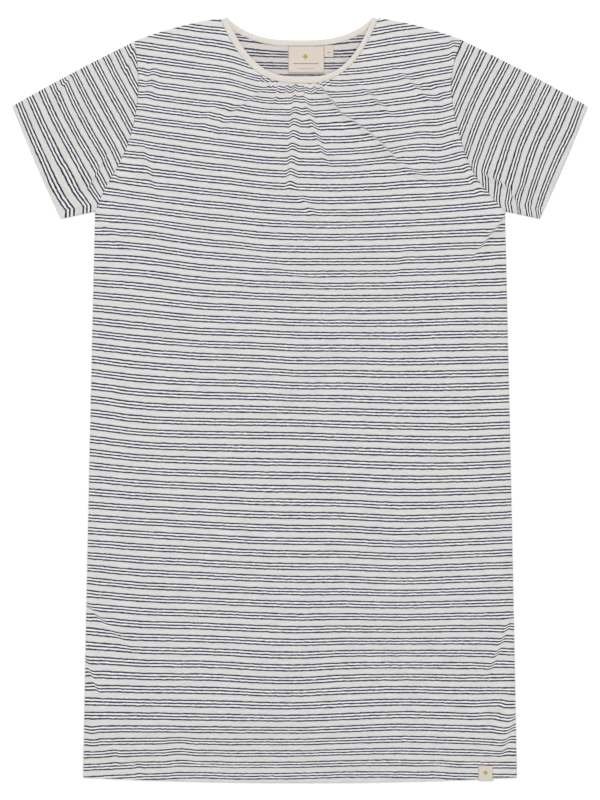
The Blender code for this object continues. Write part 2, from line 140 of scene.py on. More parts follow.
# Creases. Each runs from its start to its end, and bow is how far its middle lies to the
# left of the straight way. width is its half width on its right-hand side as it runs, and
# steep the half width on its left-hand side. pull lifts the stripes at its crest towards
# the neck. step is how much higher they lie on its left-hand side than on its right-hand
# side, a change that takes place over edge and dies away over spread. at_start is the
# share of all these at its start, and fade the share of its length over which they die
# away at its end.
Crease = namedtuple(
    "Crease",
    "name x0 y0 x1 y1 width height steep pull step edge spread at_start fade bow",
    defaults=(0, 0, 0, 3, 20, 0, 0.5, 0),
)
CREASES = [
    Crease("middle fold", -4.5, 384, -14, 246, 6, 2.6, 11, 2.9, at_start=0.35, fade=0.2),
    Crease("below the middle fold", -4, 254, 24, 214, 6, 0.8, 8, 1.3),
    Crease("fold beside it", 0, 384, 37, 272, 7, 2.3, 6, 1.5, -4.4, 2.4, 14, 0.5, 0.35),
    Crease("slanting fold, top", 28.5, 377, 53.5, 344, 9, 3.4, 2.6, 0, -5.2, 0.7, 22, 0.8, 0.5),
    Crease("slanting fold", 54.6, 345.2, 121, 288, 9, 3.4, 2.6, 0, -5.2, 0.7, 22, 1.0, 0.2, 4),
    Crease("its lower end", 117, 292, 168, 260, 9, 2.2, 4, 0, -3.4, 2.2, 20),
    Crease("right pinch", -46, 376, -92, 343, 7, 1.1, 4, 0.3, 1.9, 1.0, 12, 0.7, 0.4),
    Crease("left yoke", 116, 404, 172, 352, 9, 1.3, 4, 0.8, -2.8, 1.5, 12, 0.4),
    Crease("left yoke trough", 152, 388, 180, 350, 8, -0.5, pull=-1.4),
    Crease("second left yoke fold", 74, 382, 124, 334, 9, 0.9, 4, 0.8, -2.4, 1.5, 12, 0.3),
    Crease("left chest hollow", 168, 345, 172, 258, 26, -0.3, 24, -2.9, at_start=0.5),
    Crease("at the left armhole", 192, 400, 190, 335, 12, 0.4, pull=2.2, at_start=0.6),
    Crease("beside the left armhole", 197, 299, 228, 236, 9, 0.9, 8, 2.4, at_start=0.6),
    Crease("right yoke", -172, 414, -194, 343, 7, 1.1, 12, 1.6),
    Crease("right yoke hollow", -184, 408, -188, 378, 6, -0.2, pull=-1.0, at_start=0.8),
    Crease("right yoke step", -191, 322, -174, 235, 8, 0.8, step=-3.0, edge=2.8, spread=14),
    Crease("by the right underarm", -226, 285, -219, 262, 4, 0.4, 4, 0, -2.6, 2.0, 9, 0.5, 0.4),
    Crease("right chest hollow", -76, 365, -108, 312, 9, -0.4, pull=-1.5),
    Crease("right chest ridge", -98, 368, -128, 318, 10, 0.8, pull=1.2),
    Crease("left underarm", 246, 219, 203, 165, 5, 2.6, 9, 0, 5.2, 1.0, 22, 1.0, 0.6),
    Crease("right underarm", -248, 222, -205, 178, 9, 1.4, pull=0.8),
    Crease("right side", -260, -248, -230, -277, 12, 1.7, 8, 0.8, -4.2, 1.2, 20, 1.0, 0.5),
    Crease("its lower end", -240, -268, -196, -312, 14, 0.8, 10, 0, -2.6, 4.5, 22, 0.3, 0.5),
    Crease("right side fold", -263, -308, -240, -368, 9, 1.2, 6, 0.5, -3.0, 1.4, 14, 0.9, 0.3),
    Crease("left side", 251, -278, 226, -342, 9, 1.1, 6, 0, 4.4, 1.7, 18, 0.9, 0.4),
    Crease("left side hollow", 253, -352, 250, -404, 8, -0.3, pull=-0.4),
    Crease("left hem side", 266, -370, 243, -440, 6, 1.0, 8, 0, 5.8, 3.2, 30, 0.5, 0.3),
    Crease("left hem crest", 247, -348, 226, -419, 30, 0.6, 11, 1.7),
    Crease("left shoulder end", 187, 434, 186, 404, 7, 0.4, pull=1.8, at_start=1.0),
    Crease("right hem trough", -254, -385, -250, -434, 10, -0.3, 10, -1.4),
    Crease("right hem ripple", -223, -415, -227, -452, 18, 0.5, 7, 1.3),
    Crease("second hem ripple", -195, -434, -196, -462, 9, 0.4, 6, 1.1),
    Crease("right hem ridge", -150, -400, -142, -462, 22, 0.6, pull=1.8),
    Crease("left hem ridge", 168, -432, 165, -470, 26, 0.4, pull=1.1),
    Crease("soft chest step", -80, 193, 42, 125, 12, 0.7, step=-1.6, edge=5, spread=30),
    Crease("soft left step", 132, 196, 112, 130, 10, 0.5, step=1.4, edge=4, spread=25),
]
SLEEVE_CREASES = [
    Crease("left fold", 231, 270, 258, 252, 6, 2.6, 3, 0, 4.4, 0.7, 20, 0.7, 0.2, 2.5),
    Crease("its lower end", 254, 254, 267, 229, 6, 1.8, 3, 0, 4.2, 0.7, 18, 0, 0.2, 1.5),
    Crease("left cup", 238, 262, 243, 238, 5, 1.8),
    Crease("right top", -203, 427, -215, 388, 5, 1.4, 3, 0, 1.3, 0.7, 12, 1.0, 0.4),
    Crease("right fold", -237, 294, -262, 250, 6, 1.7, 3, 0, -2.0, 0.6, 14, 0.4, 0.3),
    Crease("right cuff fold", -291, 233, -255, 238, 4, 1.6, 3, at_start=1.0),
    Crease("right pinch", -279, 394, -298, 368, 5, 1.8, 3, 0, 2.2, 0.7, 12, 0.7, 0.4),
]
Gather = namedtuple("Gather", "x length width height pull")
GATHERS = [
    Gather(-44.5, 10, 1.9, 1.0, 1.5),
    Gather(-39.8, 11, 2.0, 1.2, 1.7),
    Gather(-35.0, 12, 2.1, 1.2, 1.6),
    Gather(-30.2, 12, 2.0, 1.1, 1.5),
    Gather(-23.5, 32, 3.4, 1.4, 1.5),
    Gather(-14.6, 21, 2.6, 1.4, 1.7),
    Gather(-10.6, 14, 1.9, -0.4, -0.6),
    Gather(-5.6, 24, 2.5, 1.7, 1.5),
    Gather(-1.2, 19, 2.4, -0.5, -1.2),
    Gather(3.6, 20, 2.1, 1.3, 1.7),
    Gather(7.4, 22, 1.8, 0.5, 0.8),
    Gather(11.8, 17, 2.6, -0.5, -1.4),
    Gather(16.8, 15, 2.2, 1.4, 1.7),
    Gather(21.2, 11, 1.8, -0.3, -0.8),
    Gather(25.2, 9, 1.7, 0.8, 1.2),
    Gather(29.8, 14, 2.2, 1.2, 1.4),
    Gather(34.5, 8, 1.8, 0.7, 1.0),
]
GATHER_SPREAD = 0.12

# Faint creases that the back panel rests on, as troughs in its underside
BACK_CREASES = [
    Crease("right shoulder", -150, 400, -60, 330, 10, 0.4),
    Crease("middle", 20, 380, 5, 240, 9, 0.35),
    Crease("left waist", 190, 180, 60, 120, 12, 0.45),
    Crease("right waist", -220, 120, -110, 60, 11, 0.4),
    Crease("seat", -60, -40, 70, -90, 14, 0.4),
    Crease("left hip", 200, -150, 170, -300, 10, 0.45),
    Crease("right hip", -190, -190, -120, -310, 12, 0.4),
    Crease("above the hem", 40, -330, -70, -400, 12, 0.35),
]

# Where the groups of three stripes lie on the front. A row is one group: its height in
# the middle, and how much higher than that it lies at nine places across the body.
StripeRow = namedtuple(
    "StripeRow",
    "group middle far_right right mid_right neck_right near_right near_left mid_left left"
    " far_left",
)
STRIPE_PLACES = StripeRow("x", 0, -253, -194, -121, -85, -49, 49, 121, 194, 253)
STRIPE_ROWS = [
    StripeRow(-3, 429.4, 42, 33, 22, 17, 3, -2, 8, 18, 27),
    StripeRow(-1, 402.9, 37, 28.5, 17.6, 11.6, 1, -4, 3.5, 15.5, 24),
    StripeRow(1, 376.4, 33, 23.5, 14, 9.9, 1, -3.5, 1.5, 11.5, 18),
    StripeRow(3, 348.4, 32, 22.5, 12.4, 8.2, 2.5, -1, 0, 9.5, 16),
    StripeRow(5, 319.4, 32, 22, 12, 7, 3, -3.5, 0.5, 9, 15),
    StripeRow(8, 273.9, 31, 22.5, 11, 7.2, 2.5, -1, 2.4, 6.5, 12),
    StripeRow(10, 243.4, 30, 20, 10.7, 7, 3, -1, 1.4, 6, 12.5),
    StripeRow(14, 183.4, 22, 18.5, 8.6, 5.5, 2, -0.5, 1, 4, 8.5),
    StripeRow(20, 93.9, 18, 12, 5, 3.5, 2, -0.5, -0.5, 1.5, 2),
    StripeRow(24, 32.4, 17, 10, 5, 3.8, 2.5, 0, -1.5, -0.5, 1),
    StripeRow(28, -28.1, 12.5, 5, 2, 1.5, 1, -1.5, -3.5, -4.5, -2.5),
    StripeRow(36, -156.1, 12.5, 8.5, 4.5, 2.7, 1, -0.5, -3.5, -1.5, 1),
    StripeRow(44, -279.1, 13, 7, 4.5, 3, 1.5, 1, 0.5, 1.5, 2.5),
    StripeRow(48, -340.6, 8, 5, 4, 2.8, 0.5, 2.5, 4, 3, 3),
    StripeRow(52, -401.2, 1.2, 1.7, 0.8, 0.4, 0.2, 1.4, 3.8, 2.4, 1.4),
    StripeRow(56, -457.0, -4.5, -1.4, 0.8, -0.4, -0.4, 1.5, 1.6, -0.5, -1.5),
]

# The stripes of the back panel: the height of one group in the middle, the distance from
# one group to the next, and how they rise towards the sides
BACK_STRIPE = 420.0
BACK_PITCH = 14.0
BACK_RISE_RIGHT = 5.5e-4
BACK_RISE_LEFT = 2.5e-4
BACK_RISE_REACH = 140.0
BACK_RISE_AT_NECK = 1.6e-3
BACK_NECK_REACH = 90.0
BACK_NECK_FROM = 415.0
BACK_NECK_OVER = 26.0

# Where the groups lie on the sleeves: a row is one group, with its distance from the cuff,
# measured along the sleeve's top edge, at six shares of the way down the cuff.
SleeveRow = namedtuple("SleeveRow", "group top upper middle low lower edge")
SLEEVE_PLACES = SleeveRow("share", 0.0, 0.25, 0.5, 0.72, 0.87, 1.0)
SLEEVE_ROWS = {
    -1: [
        SleeveRow(1, 8.9, 8.3, 8.8, 9.3, 11.5, 16.0),
        SleeveRow(2, 23.9, 24.8, 26.3, 29.5, 31.3, 35.6),
        SleeveRow(3, 40.6, 41.4, 44.4, 47.2, 48.8, 51.8),
        SleeveRow(4, 55.8, 56.8, 59.6, 63.2, 64.4, 65.5),
        SleeveRow(5, 70.1, 71.8, 74.9, 78.4, 78.9, 79.0),
        SleeveRow(6, 83.5, 86.3, 89.8, 93.2, 93.4, 93.0),
        SleeveRow(8, 113.5, 116.5, 120.2, 123.0, 123.5, 124.0),
        SleeveRow(10, 143.4, 146.0, 150.0, 153.0, 154.0, 155.0),
    ],
    1: [
        SleeveRow(1, 9.0, 7.6, 9.2, 8.6, 7.2, 5.4),
        SleeveRow(2, 23.6, 23.8, 24.5, 22.8, 20.0, 17.6),
        SleeveRow(3, 38.6, 39.5, 40.5, 37.6, 34.2, 30.0),
        SleeveRow(4, 54.0, 55.5, 56.5, 52.9, 48.9, 44.8),
        SleeveRow(5, 67.5, 69.6, 72.3, 69.3, 66.0, 59.6),
        SleeveRow(6, 82.0, 84.0, 86.8, 86.0, 83.5, 74.2),
        SleeveRow(8, 111.3, 114.5, 116.3, 114.6, 112.0, 106.0),
        SleeveRow(10, 143.0, 144.6, 144.8, 144.0, 142.0, 138.0),
    ],
}
# Near a sleeve's lower edge the stripes turn: below this height above the edge they run
# down, and lean towards +X by this share of the way
SleeveTurn = namedtuple("SleeveTurn", "height lean")
SLEEVE_TURNS = {-1: SleeveTurn(height=8.1, lean=-0.08), 1: SleeveTurn(height=11.0, lean=0.22)}
STRIPE_PITCH = 15.2  # from one group to the next, for the knit's fine detail

# How finely the panels are divided
COARSE = 4.2
BACK_COARSE = 6.0
FINE = 1.9
FINEST = 0.95
FINE_BESIDE = 2.0  # how far the fine part reaches beside a crease
FINE_BEYOND = 4.0  # and beyond its ends
NARROW_CREASE = 4.0  # a crease narrower than this is finest all over
SHARP_EDGE = 1.5  # the finest part lies along steps of the stripes sharper than this,
FINEST_BESIDE = 3.2  # and reaches this far beside them
ROW_SHARE = 0.866  # from one row of points to the next, in steps
OUTLINE_STEP = 3.0
SEAM_STEP = 12.0  # along the seams, where only the distance to them counts
NECKLINE_STEP = 4.0
RIM_INSET = 0.5  # the width of a cut edge's soft rounding
RIM_THINNER = 0.55  # the share of the cloth's thickness that it takes away

# Stitching
STITCH = 2.4
STITCH_PITCH = 3.1
THREAD = 0.22
HEM_ROWS = (17.5, 21.0)
HEM_ROW_END = 3.0  # from the side seams to the ends of its rows


# Lines and curves in the plane


def smooth_step(t):
    t = np.clip(t, 0.0, 1.0)
    return t * t * (3 - 2 * t)


def on_side(side, point):
    """A place that is given for the side towards +X, on either side."""
    return np.array((side * point[0], point[1]))


def bowed_line(start, end, bow, count):
    """Points from start to end on a shallow arch, bow high to the left of the way."""
    start, end = np.array(start, dtype=float), np.array(end, dtype=float)
    way = end - start
    left = np.array((-way[1], way[0])) / np.hypot(*way)
    t = np.linspace(0.0, 1.0, count + 1)[:, None]
    return start + way * t + left * bow * 4 * t * (1 - t)


def smooth_line(points, per_span):
    """A Catmull-Rom curve through the points, with its end tangents along its end spans."""
    points = np.array(points, dtype=float)
    padded = np.vstack((points[:1], points, points[-1:]))
    t = (np.arange(per_span) / per_span)[:, None]
    spans = []
    for a, b, c, d in zip(padded, padded[1:], padded[2:], padded[3:]):
        spans.append(
            0.5 * (2 * b + (c - a) * t + (2 * a - 5 * b + 4 * c - d) * t**2
                   + (3 * b - a - 3 * c + d) * t**3)
        )
    return np.vstack((*spans, points[-1:]))


def run_along(line):
    """Each point's distance from the line's start, along it."""
    return np.concatenate(([0.0], np.cumsum(np.hypot(*np.diff(line, axis=0).T))))


def read_line(line, stops, wanted):
    """The line's places at the wanted stops, where stops has one for each of its points."""
    return np.column_stack([np.interp(wanted, stops, column) for column in line.T])


def spaced(line, count):
    """The same line with count + 1 points at even distances along it."""
    line = np.array(line, dtype=float)
    run = run_along(line)
    return read_line(line, run, np.linspace(0.0, run[-1], count + 1))


def stepped(line, step):
    """The same line with points about one step apart."""
    length = np.hypot(*np.diff(np.array(line, dtype=float), axis=0).T).sum()
    return spaced(line, max(2, round(length / step)))


def offset_line(line, distance):
    """The line moved to the right of its way, by one distance or by one for each point."""
    way = np.gradient(line, axis=0)
    way /= np.hypot(way[:, 0], way[:, 1])[:, None]
    return line + np.reshape(distance, (-1, 1)) * np.column_stack((way[:, 1], -way[:, 0]))


def neck_edge(neck, step=1.5):
    """The neckline's free edge, from -X to +X."""
    x = np.linspace(-neck.half_width, neck.half_width, 400)
    from_lowest = x - neck.lowest
    reach = neck.half_width - np.sign(from_lowest) * neck.lowest
    depth = (neck.top - neck.middle) * (np.abs(from_lowest) / reach) ** neck.power
    return stepped(np.column_stack((x, neck.middle + depth)), step)


def binding_width(neck, x):
    return neck.binding - neck.narrower * smooth_step((x - NARROWS_FROM) / NARROWS_OVER)


def sewn_edge(neck, step=1.5):
    """Where the cloth meets the binding, from -X to +X."""
    edge = neck_edge(neck, step)
    return offset_line(edge, binding_width(neck, edge[:, 0]) + SEWN)


def hem_height(x):
    return HEM + HEM_LIFT * (np.abs(x) / HEM_HALF_WIDTH) ** HEM_CURVE


def shoulder_line(side):
    """The top edge from the neck to the armhole seam."""
    start, end = on_side(side, SHOULDER_START), on_side(side, SHOULDER_END)
    whole = bowed_line(start, end, side * SHOULDER_BOW, 24)
    reach = ARMHOLE[0].left if side > 0 else ARMHOLE[0].right
    kept = whole[np.abs(whole[:, 0]) < reach - GAP]
    height = np.interp(reach, np.abs(whole[:, 0]), whole[:, 1])
    return np.vstack((kept, (side * reach, height)))


def armhole_line(side):
    """The armhole seam from the shoulder to the underarm."""
    rows = [(side * (row.left if side > 0 else row.right), row.height) for row in ARMHOLE]
    rows[0] = tuple(shoulder_line(side)[-1])
    return smooth_line(rows, 8)


def side_seam(side):
    """The body's side from the underarm down to the hem."""
    end = (side * HEM_HALF_WIDTH, float(hem_height(HEM_HALF_WIDTH)))
    return bowed_line((side * CHEST_HALF_WIDTH, UNDERARM), end, side * SIDE_BOW, 40)


def body_outline(neck, step):
    """A panel's outline, anticlockwise from the neckline's end at -X."""
    lines = {}
    for side in (-1, 1):
        back = np.array((-side * SEAM, 0.0))
        lines[side] = (shoulder_line(side) + back, armhole_line(side) + back, side_seam(side))
    x = np.linspace(-HEM_HALF_WIDTH, HEM_HALF_WIDTH, 120)
    hem = np.column_stack((x, hem_height(x)))
    ways = [*lines[-1], hem, *(line[::-1] for line in reversed(lines[1]))]
    ways.append(sewn_edge(neck)[::-1])
    ways = [stepped(way, step) for way in ways]
    joined = [ways[0][0]]
    for way in ways:
        for point in way:
            if np.hypot(*(point - joined[-1])) > step * 0.3:
                joined.append(point)
    if np.hypot(*(joined[-1] - joined[0])) < step * 0.3:
        joined.pop()
    return np.array(joined)


def distance_to(line, x, y):
    """The shortest distance from each point to a line of points."""
    nearest = np.full(np.shape(x), np.inf)
    for (ax, ay), (bx, by) in zip(line, line[1:]):
        sx, sy = bx - ax, by - ay
        t = np.clip(((x - ax) * sx + (y - ay) * sy) / (sx * sx + sy * sy), 0.0, 1.0)
        nearest = np.minimum(nearest, np.hypot(x - ax - t * sx, y - ay - t * sy))
    return nearest


def inside(outline, x, y):
    crossed = np.zeros(np.shape(x), dtype=bool)
    for (x0, y0), (x1, y1) in zip(outline, np.roll(outline, -1, axis=0)):
        if y0 != y1:
            crossed ^= ((y0 > y) != (y1 > y)) & (x < x0 + (y - y0) * (x1 - x0) / (y1 - y0))
    return crossed


def through(stops, values, at):
    """A smooth curve through values at rising stops, read at each point of at. Stops and
    values may have one column for each point."""
    stops, values = np.array(stops, dtype=float), np.array(values, dtype=float)
    if stops.ndim == 1:
        stops = np.repeat(stops[:, None], len(at), axis=1)
    if values.ndim == 1:
        values = np.repeat(values[:, None], len(at), axis=1)
    steps = np.diff(stops, axis=0)
    slopes = np.diff(values, axis=0) / steps
    tangents = np.vstack((slopes[:1], (slopes[1:] + slopes[:-1]) / 2, slopes[-1:]))
    place = np.clip((at > stops).sum(axis=0) - 1, 0, len(stops) - 2)
    each = np.arange(len(at))
    h = steps[place, each]
    t = (at - stops[place, each]) / h
    v0, v1 = values[place, each], values[place + 1, each]
    m0, m1 = tangents[place, each], tangents[place + 1, each]
    before, after = t < 0, t > 1
    t = np.clip(t, 0.0, 1.0)
    curve = (1 + 2 * t) * (1 - t) ** 2 * v0 + t * (1 - t) ** 2 * h * m0
    curve += t * t * (3 - 2 * t) * v1 + t * t * (t - 1) * h * m1
    curve = np.where(before, v0 + (at - stops[0]) * m0, curve)
    return np.where(after, v1 + (at - stops[-1]) * m1, curve)


# How high the upper layer lies, and how the creases move its stripes


def gather_creases():
    """The gathers as creases that hang from the front binding and lean outwards."""
    edge = sewn_edge(FRONT_NECK)
    rows = []
    for number, row in enumerate(GATHERS, start=1):
        top = float(np.interp(row.x, edge[:, 0], edge[:, 1]))
        end_x = row.x * (1 + GATHER_SPREAD * row.length / 10)
        rows.append(
            Crease(f"gather {number}", row.x, top, end_x, top - row.length, row.width,
                   row.height, pull=row.pull, at_start=0.9)
        )
    return rows


def along_and_left(row, x, y):
    """A point's share of the way along a crease, and its distance to the left of it."""
    way = np.array((row.x1 - row.x0, row.y1 - row.y0))
    length = float(np.hypot(*way))
    along = ((x - row.x0) * way[0] + (y - row.y0) * way[1]) / length**2
    left = (way[0] * (y - row.y0) - way[1] * (x - row.x0)) / length
    share = np.clip(along, 0.0, 1.0)
    return along, left - row.bow * 4 * share * (1 - share), length


def share_along(row, along):
    start = row.at_start + (1 - row.at_start) * smooth_step(along / 0.3)
    return np.where(along > 1, 0.0, start * smooth_step((1 - along) / row.fade))


def half_width(row, left):
    """A crease's half width on the side where each point lies."""
    return np.where(left > 0, row.steep or row.width, row.width)


def ridge(row, along, left, length):
    """The crease's cross-section, 1 at its crest, times its share along its length."""
    across = np.clip(np.abs(left) / half_width(row, left), 0.0, 1.0)
    before = smooth_step(1 + along * length / row.width)
    return np.cos(np.pi / 2 * across) ** 2 * share_along(row, along) * before


def crease_rise(creases, x, y):
    total = np.zeros(np.shape(x))
    for row in creases:
        total += row.height * ridge(row, *along_and_left(row, x, y))
    return total


def stripe_shift(creases, x, y):
    """How far the creases move the stripes towards the neck."""
    total = np.zeros(np.shape(x))
    for row in creases:
        if not (row.pull or row.step):
            continue
        along, left, length = along_and_left(row, x, y)
        total += row.pull * ridge(row, along, left, length)
        before = smooth_step(1 + along * length / row.spread)
        side = 0.5 * np.tanh(left / row.edge) * np.exp(-np.abs(left) / row.spread)
        total += row.step * side * share_along(row, along) * before
    return total


def bump(x, y, middle_x, middle_y, reach_x, reach_y):
    return np.exp(-(((x - middle_x) / reach_x) ** 2) - ((y - middle_y) / reach_y) ** 2)


def rise_of(seams, neckline, creases):
    """A function of a point and of the share of the creases that counts there: how far
    the upper layer lies above its lowest place."""

    def rise(x, y, crease_share=1.0):
        edge = distance_to(seams, x, y)
        full = LOFT * (1 - np.exp(-edge / LOFT_REACH))
        if neckline is not None:
            from_neck = distance_to(neckline, x, y)
            full = full * (1 - (1 - LOFT_AT_NECK) * np.exp(-from_neck / LOFT_REACH))
            middle = FRONT_NECK.middle - FRONT_NECK.binding
            full += NECK_LIFT * bump(x, y, 0, middle, NECK_LIFT_REACH, NECK_LIFT_REACH)
        for row in SWELLS:
            full += row.height * bump(x, y, row.x, row.y, row.reach_x, row.reach_y)
        full += crease_share * crease_rise(creases, x, y)
        return full * (1 - np.exp(-edge / FADE_REACH))

    return rise


# The stripes


def across_body(row):
    """A row's values from -X to +X, with 0 for the middle itself."""
    return [*row[2:7], 0.0, *row[7:]]


def front_groups(x, y):
    """The number of the group of stripes at each point of the front, with fractions."""
    y = y - stripe_shift(FRONT_CREASES, x, y)
    places = across_body(STRIPE_PLACES)
    heights = [row.middle + through(places, across_body(row), x) for row in STRIPE_ROWS]
    return through(-np.array(heights), [row.group for row in STRIPE_ROWS], -y)


def back_groups(x, y):
    rise = np.where(x < 0, BACK_RISE_RIGHT, BACK_RISE_LEFT)
    rise = rise * BACK_RISE_REACH**2 * (1 - np.exp(-((x / BACK_RISE_REACH) ** 2)))
    at_neck = x**2 * np.exp(-((x / BACK_NECK_REACH) ** 2))
    at_neck = at_neck * smooth_step((y - BACK_NECK_FROM) / BACK_NECK_OVER)
    rise = rise + BACK_RISE_AT_NECK * at_neck
    return (BACK_STRIPE - (y - rise)) / BACK_PITCH


def sleeve_groups(side, x, y, crease_share):
    """The number of the group of stripes at each point of a sleeve."""
    bottom = on_side(side, CUFF_BOTTOM)
    way = on_side(side, (CHEST_HALF_WIDTH, UNDERARM)) - bottom
    above = side * (way[1] * (x - bottom[0]) - way[0] * (y - bottom[1])) / np.hypot(*way)
    turn = SLEEVE_TURNS[side]
    down = np.maximum(turn.height - above, 0.0)
    x, y = x - turn.lean * down, y + down
    distance, share = cuff_distance(side, x, y)
    distance = distance - crease_share * stripe_shift(SLEEVE_CREASES, x, y)
    rows = SLEEVE_ROWS[side]
    distances = [through(SLEEVE_PLACES[1:], row[1:], share) for row in rows]
    return through(np.array(distances), [row.group for row in rows], distance)


# Meshes


def add_object(name, data):
    made = bpy.data.objects.new(name, data)
    bpy.context.scene.collection.objects.link(made)
    return made


def add_piece(name, points, faces, material, cad_nodes, values=None, places=None):
    """A closed piece from points in millimetres, which takes the place of CAD nodes.
    values holds a number for each point under each name. places holds, for each corner of
    each face, its place on the picture that the piece is baked to."""
    mesh = bpy.data.meshes.new(name)
    mesh.from_pydata((np.array(points) * MM).tolist(), [], faces)
    for key, numbers in (values or {}).items():
        layer = mesh.attributes.new(key, "FLOAT", "POINT")
        layer.data.foreach_set("value", np.array(numbers, dtype=np.float32))
    if places is not None:
        layer = mesh.uv_layers.new(name="OFBake")
        layer.data.foreach_set("uv", np.array(places, dtype=np.float32).ravel())
        layer.active_render = False
    solid = bmesh.new()
    solid.from_mesh(mesh)
    bmesh.ops.recalc_face_normals(solid, faces=solid.faces)
    if solid.calc_volume(signed=True) < 0:
        bmesh.ops.reverse_faces(solid, faces=solid.faces)
    solid.to_mesh(mesh)
    solid.free()
    mesh.materials.append(material)
    mesh.shade_smooth()
    piece = add_object(name, mesh)
    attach(piece, "root")
    if cad_nodes:
        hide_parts(*cad_nodes)
    return piece


def lattice(step, low, high):
    """Points on rows one step apart, every second row shifted by half a step."""
    columns = np.arange(low[0], high[0], step)
    rows = np.arange(low[1], high[1], step * ROW_SHARE)
    x, y = np.meshgrid(columns, rows)
    x[1::2] += step / 2
    return x.ravel(), y.ravel()


def crease_need(creases, x, y):
    """How finely each point must be divided: 0 for coarse, 1 for fine, 2 for finest."""
    need = np.zeros(np.shape(x))
    for row in creases:
        along, left, length = along_and_left(row, x, y)
        run, beside = along * length, half_width(row, left) + FINE_BESIDE
        near = (run > -FINE_BEYOND) & (run < length + FINE_BEYOND)
        need = np.where(near & (np.abs(left) < beside), np.maximum(need, 1), need)
        sharp = row.width if row.width < NARROW_CREASE else 0
        if row.step and row.edge < SHARP_EDGE:
            sharp = FINEST_BESIDE
        need = np.where(near & (np.abs(left) < sharp), 2, need)
    return need


def inner_points(outline, creases, coarse):
    """Points inside an outline: first a ring just inside it, then finer and coarser ones."""
    closed = np.vstack((outline, outline[:1]))
    ring = offset_line(closed, -RIM_INSET)[:-1]
    ring = ring[inside(outline, ring[:, 0], ring[:, 1])]
    low, high = outline.min(axis=0), outline.max(axis=0)
    kept = [ring]
    for level, step in ((2, FINEST), (1, FINE), (0, coarse)):
        if level and not creases:
            continue
        x, y = lattice(step, low, high)
        right = crease_need(creases, x, y) == level
        x, y = x[right], y[right]
        right = inside(outline, x, y)
        x, y = x[right], y[right]
        right = distance_to(closed, x, y) > RIM_INSET + step * 0.45
        kept.append(np.column_stack((x[right], y[right])))
    return np.vstack(kept)


# The pictures that the panels are baked to are square. The body is nearly twice as high as
# it is wide, so its height is laid over them in bands, side by side, which gives the
# narrow stripes more of the picture.
Patch = namedtuple("Patch", "left right x0 x1 y0 y1")
BAKE_EDGE = 0.004  # kept free round the picture
BAKE_OVERLAP = 5.0  # millimetres of cloth shown beyond each patch's own


def bands(left, right, count):
    """Patches side by side for bands of the body's height, from the hem up."""
    wide, high = (right - left) / count, LENGTH / count
    reach = HEM_HALF_WIDTH
    return [
        Patch(left + k * wide, left + (k + 1) * wide - BAKE_EDGE, -reach, reach,
              HEM + k * high, HEM + (k + 1) * high)
        for k in range(count)
    ]


def patch_places(patches, xy):
    """The places on the picture of faces, given as faces by corners by x and y. A face is
    in the last patch that its middle lies in."""
    middle = xy.mean(axis=1)
    placed = np.zeros(xy.shape)
    for patch in patches:
        within_x = (middle[:, 0] >= patch.x0) & (middle[:, 0] <= patch.x1)
        here = within_x & (middle[:, 1] >= patch.y0) & (middle[:, 1] <= patch.y1)
        wide = patch.x1 - patch.x0 + 2 * BAKE_OVERLAP
        high = patch.y1 - patch.y0 + 2 * BAKE_OVERLAP
        u = (xy[here, :, 0] - patch.x0 + BAKE_OVERLAP) / wide
        v = (xy[here, :, 1] - patch.y0 + BAKE_OVERLAP) / high
        placed[here, :, 0] = patch.left + u * (patch.right - patch.left)
        placed[here, :, 1] = BAKE_EDGE + v * (1 - 2 * BAKE_EDGE)
    return placed


def cell_places(count, left, right):
    """Places for the corners of the rim's faces: each face has a cell of its own."""
    columns = 4
    rows = math.ceil(count / columns)
    wide, high = (right - left) / columns, (1 - 2 * BAKE_EDGE) / rows
    number = np.arange(count)
    u = left + (number % columns + np.array([[0.1], [0.9], [0.9], [0.1]])) * wide
    v = BAKE_EDGE + (number // columns + np.array([[0.1], [0.1], [0.9], [0.9]])) * high
    return np.stack((u.T, v.T), axis=2)


# For each panel, the patches of its lower and its upper face. A face that doesn't show has
# a narrow one.
HIDDEN = Patch(0.925, 0.965, -300, 300, HEM, TOP)
INSIDE_NECK = Patch(0.745, 0.92, -100, 100, 370, TOP)
FRONT_PATCHES = ([HIDDEN], bands(BAKE_EDGE, 0.92, 3))
BACK_PATCHES = (bands(BAKE_EDGE, 0.74, 3), [HIDDEN, INSIDE_NECK])
RIM_COLUMNS = (0.97, 1 - BAKE_EDGE)


def layered(x, y, low, high, cells, border):
    """The points and faces of a closed piece with a lower and an upper layer of the same
    cells, joined round their border."""
    points = np.vstack((np.column_stack((x, y, low)), np.column_stack((x, y, high))))
    count = len(x)
    faces = [tuple(reversed(cell)) for cell in cells]
    faces += [tuple(i + count for i in cell) for cell in cells]
    faces += [(a, b, b + count, a + count) for a, b in border]
    return points, faces


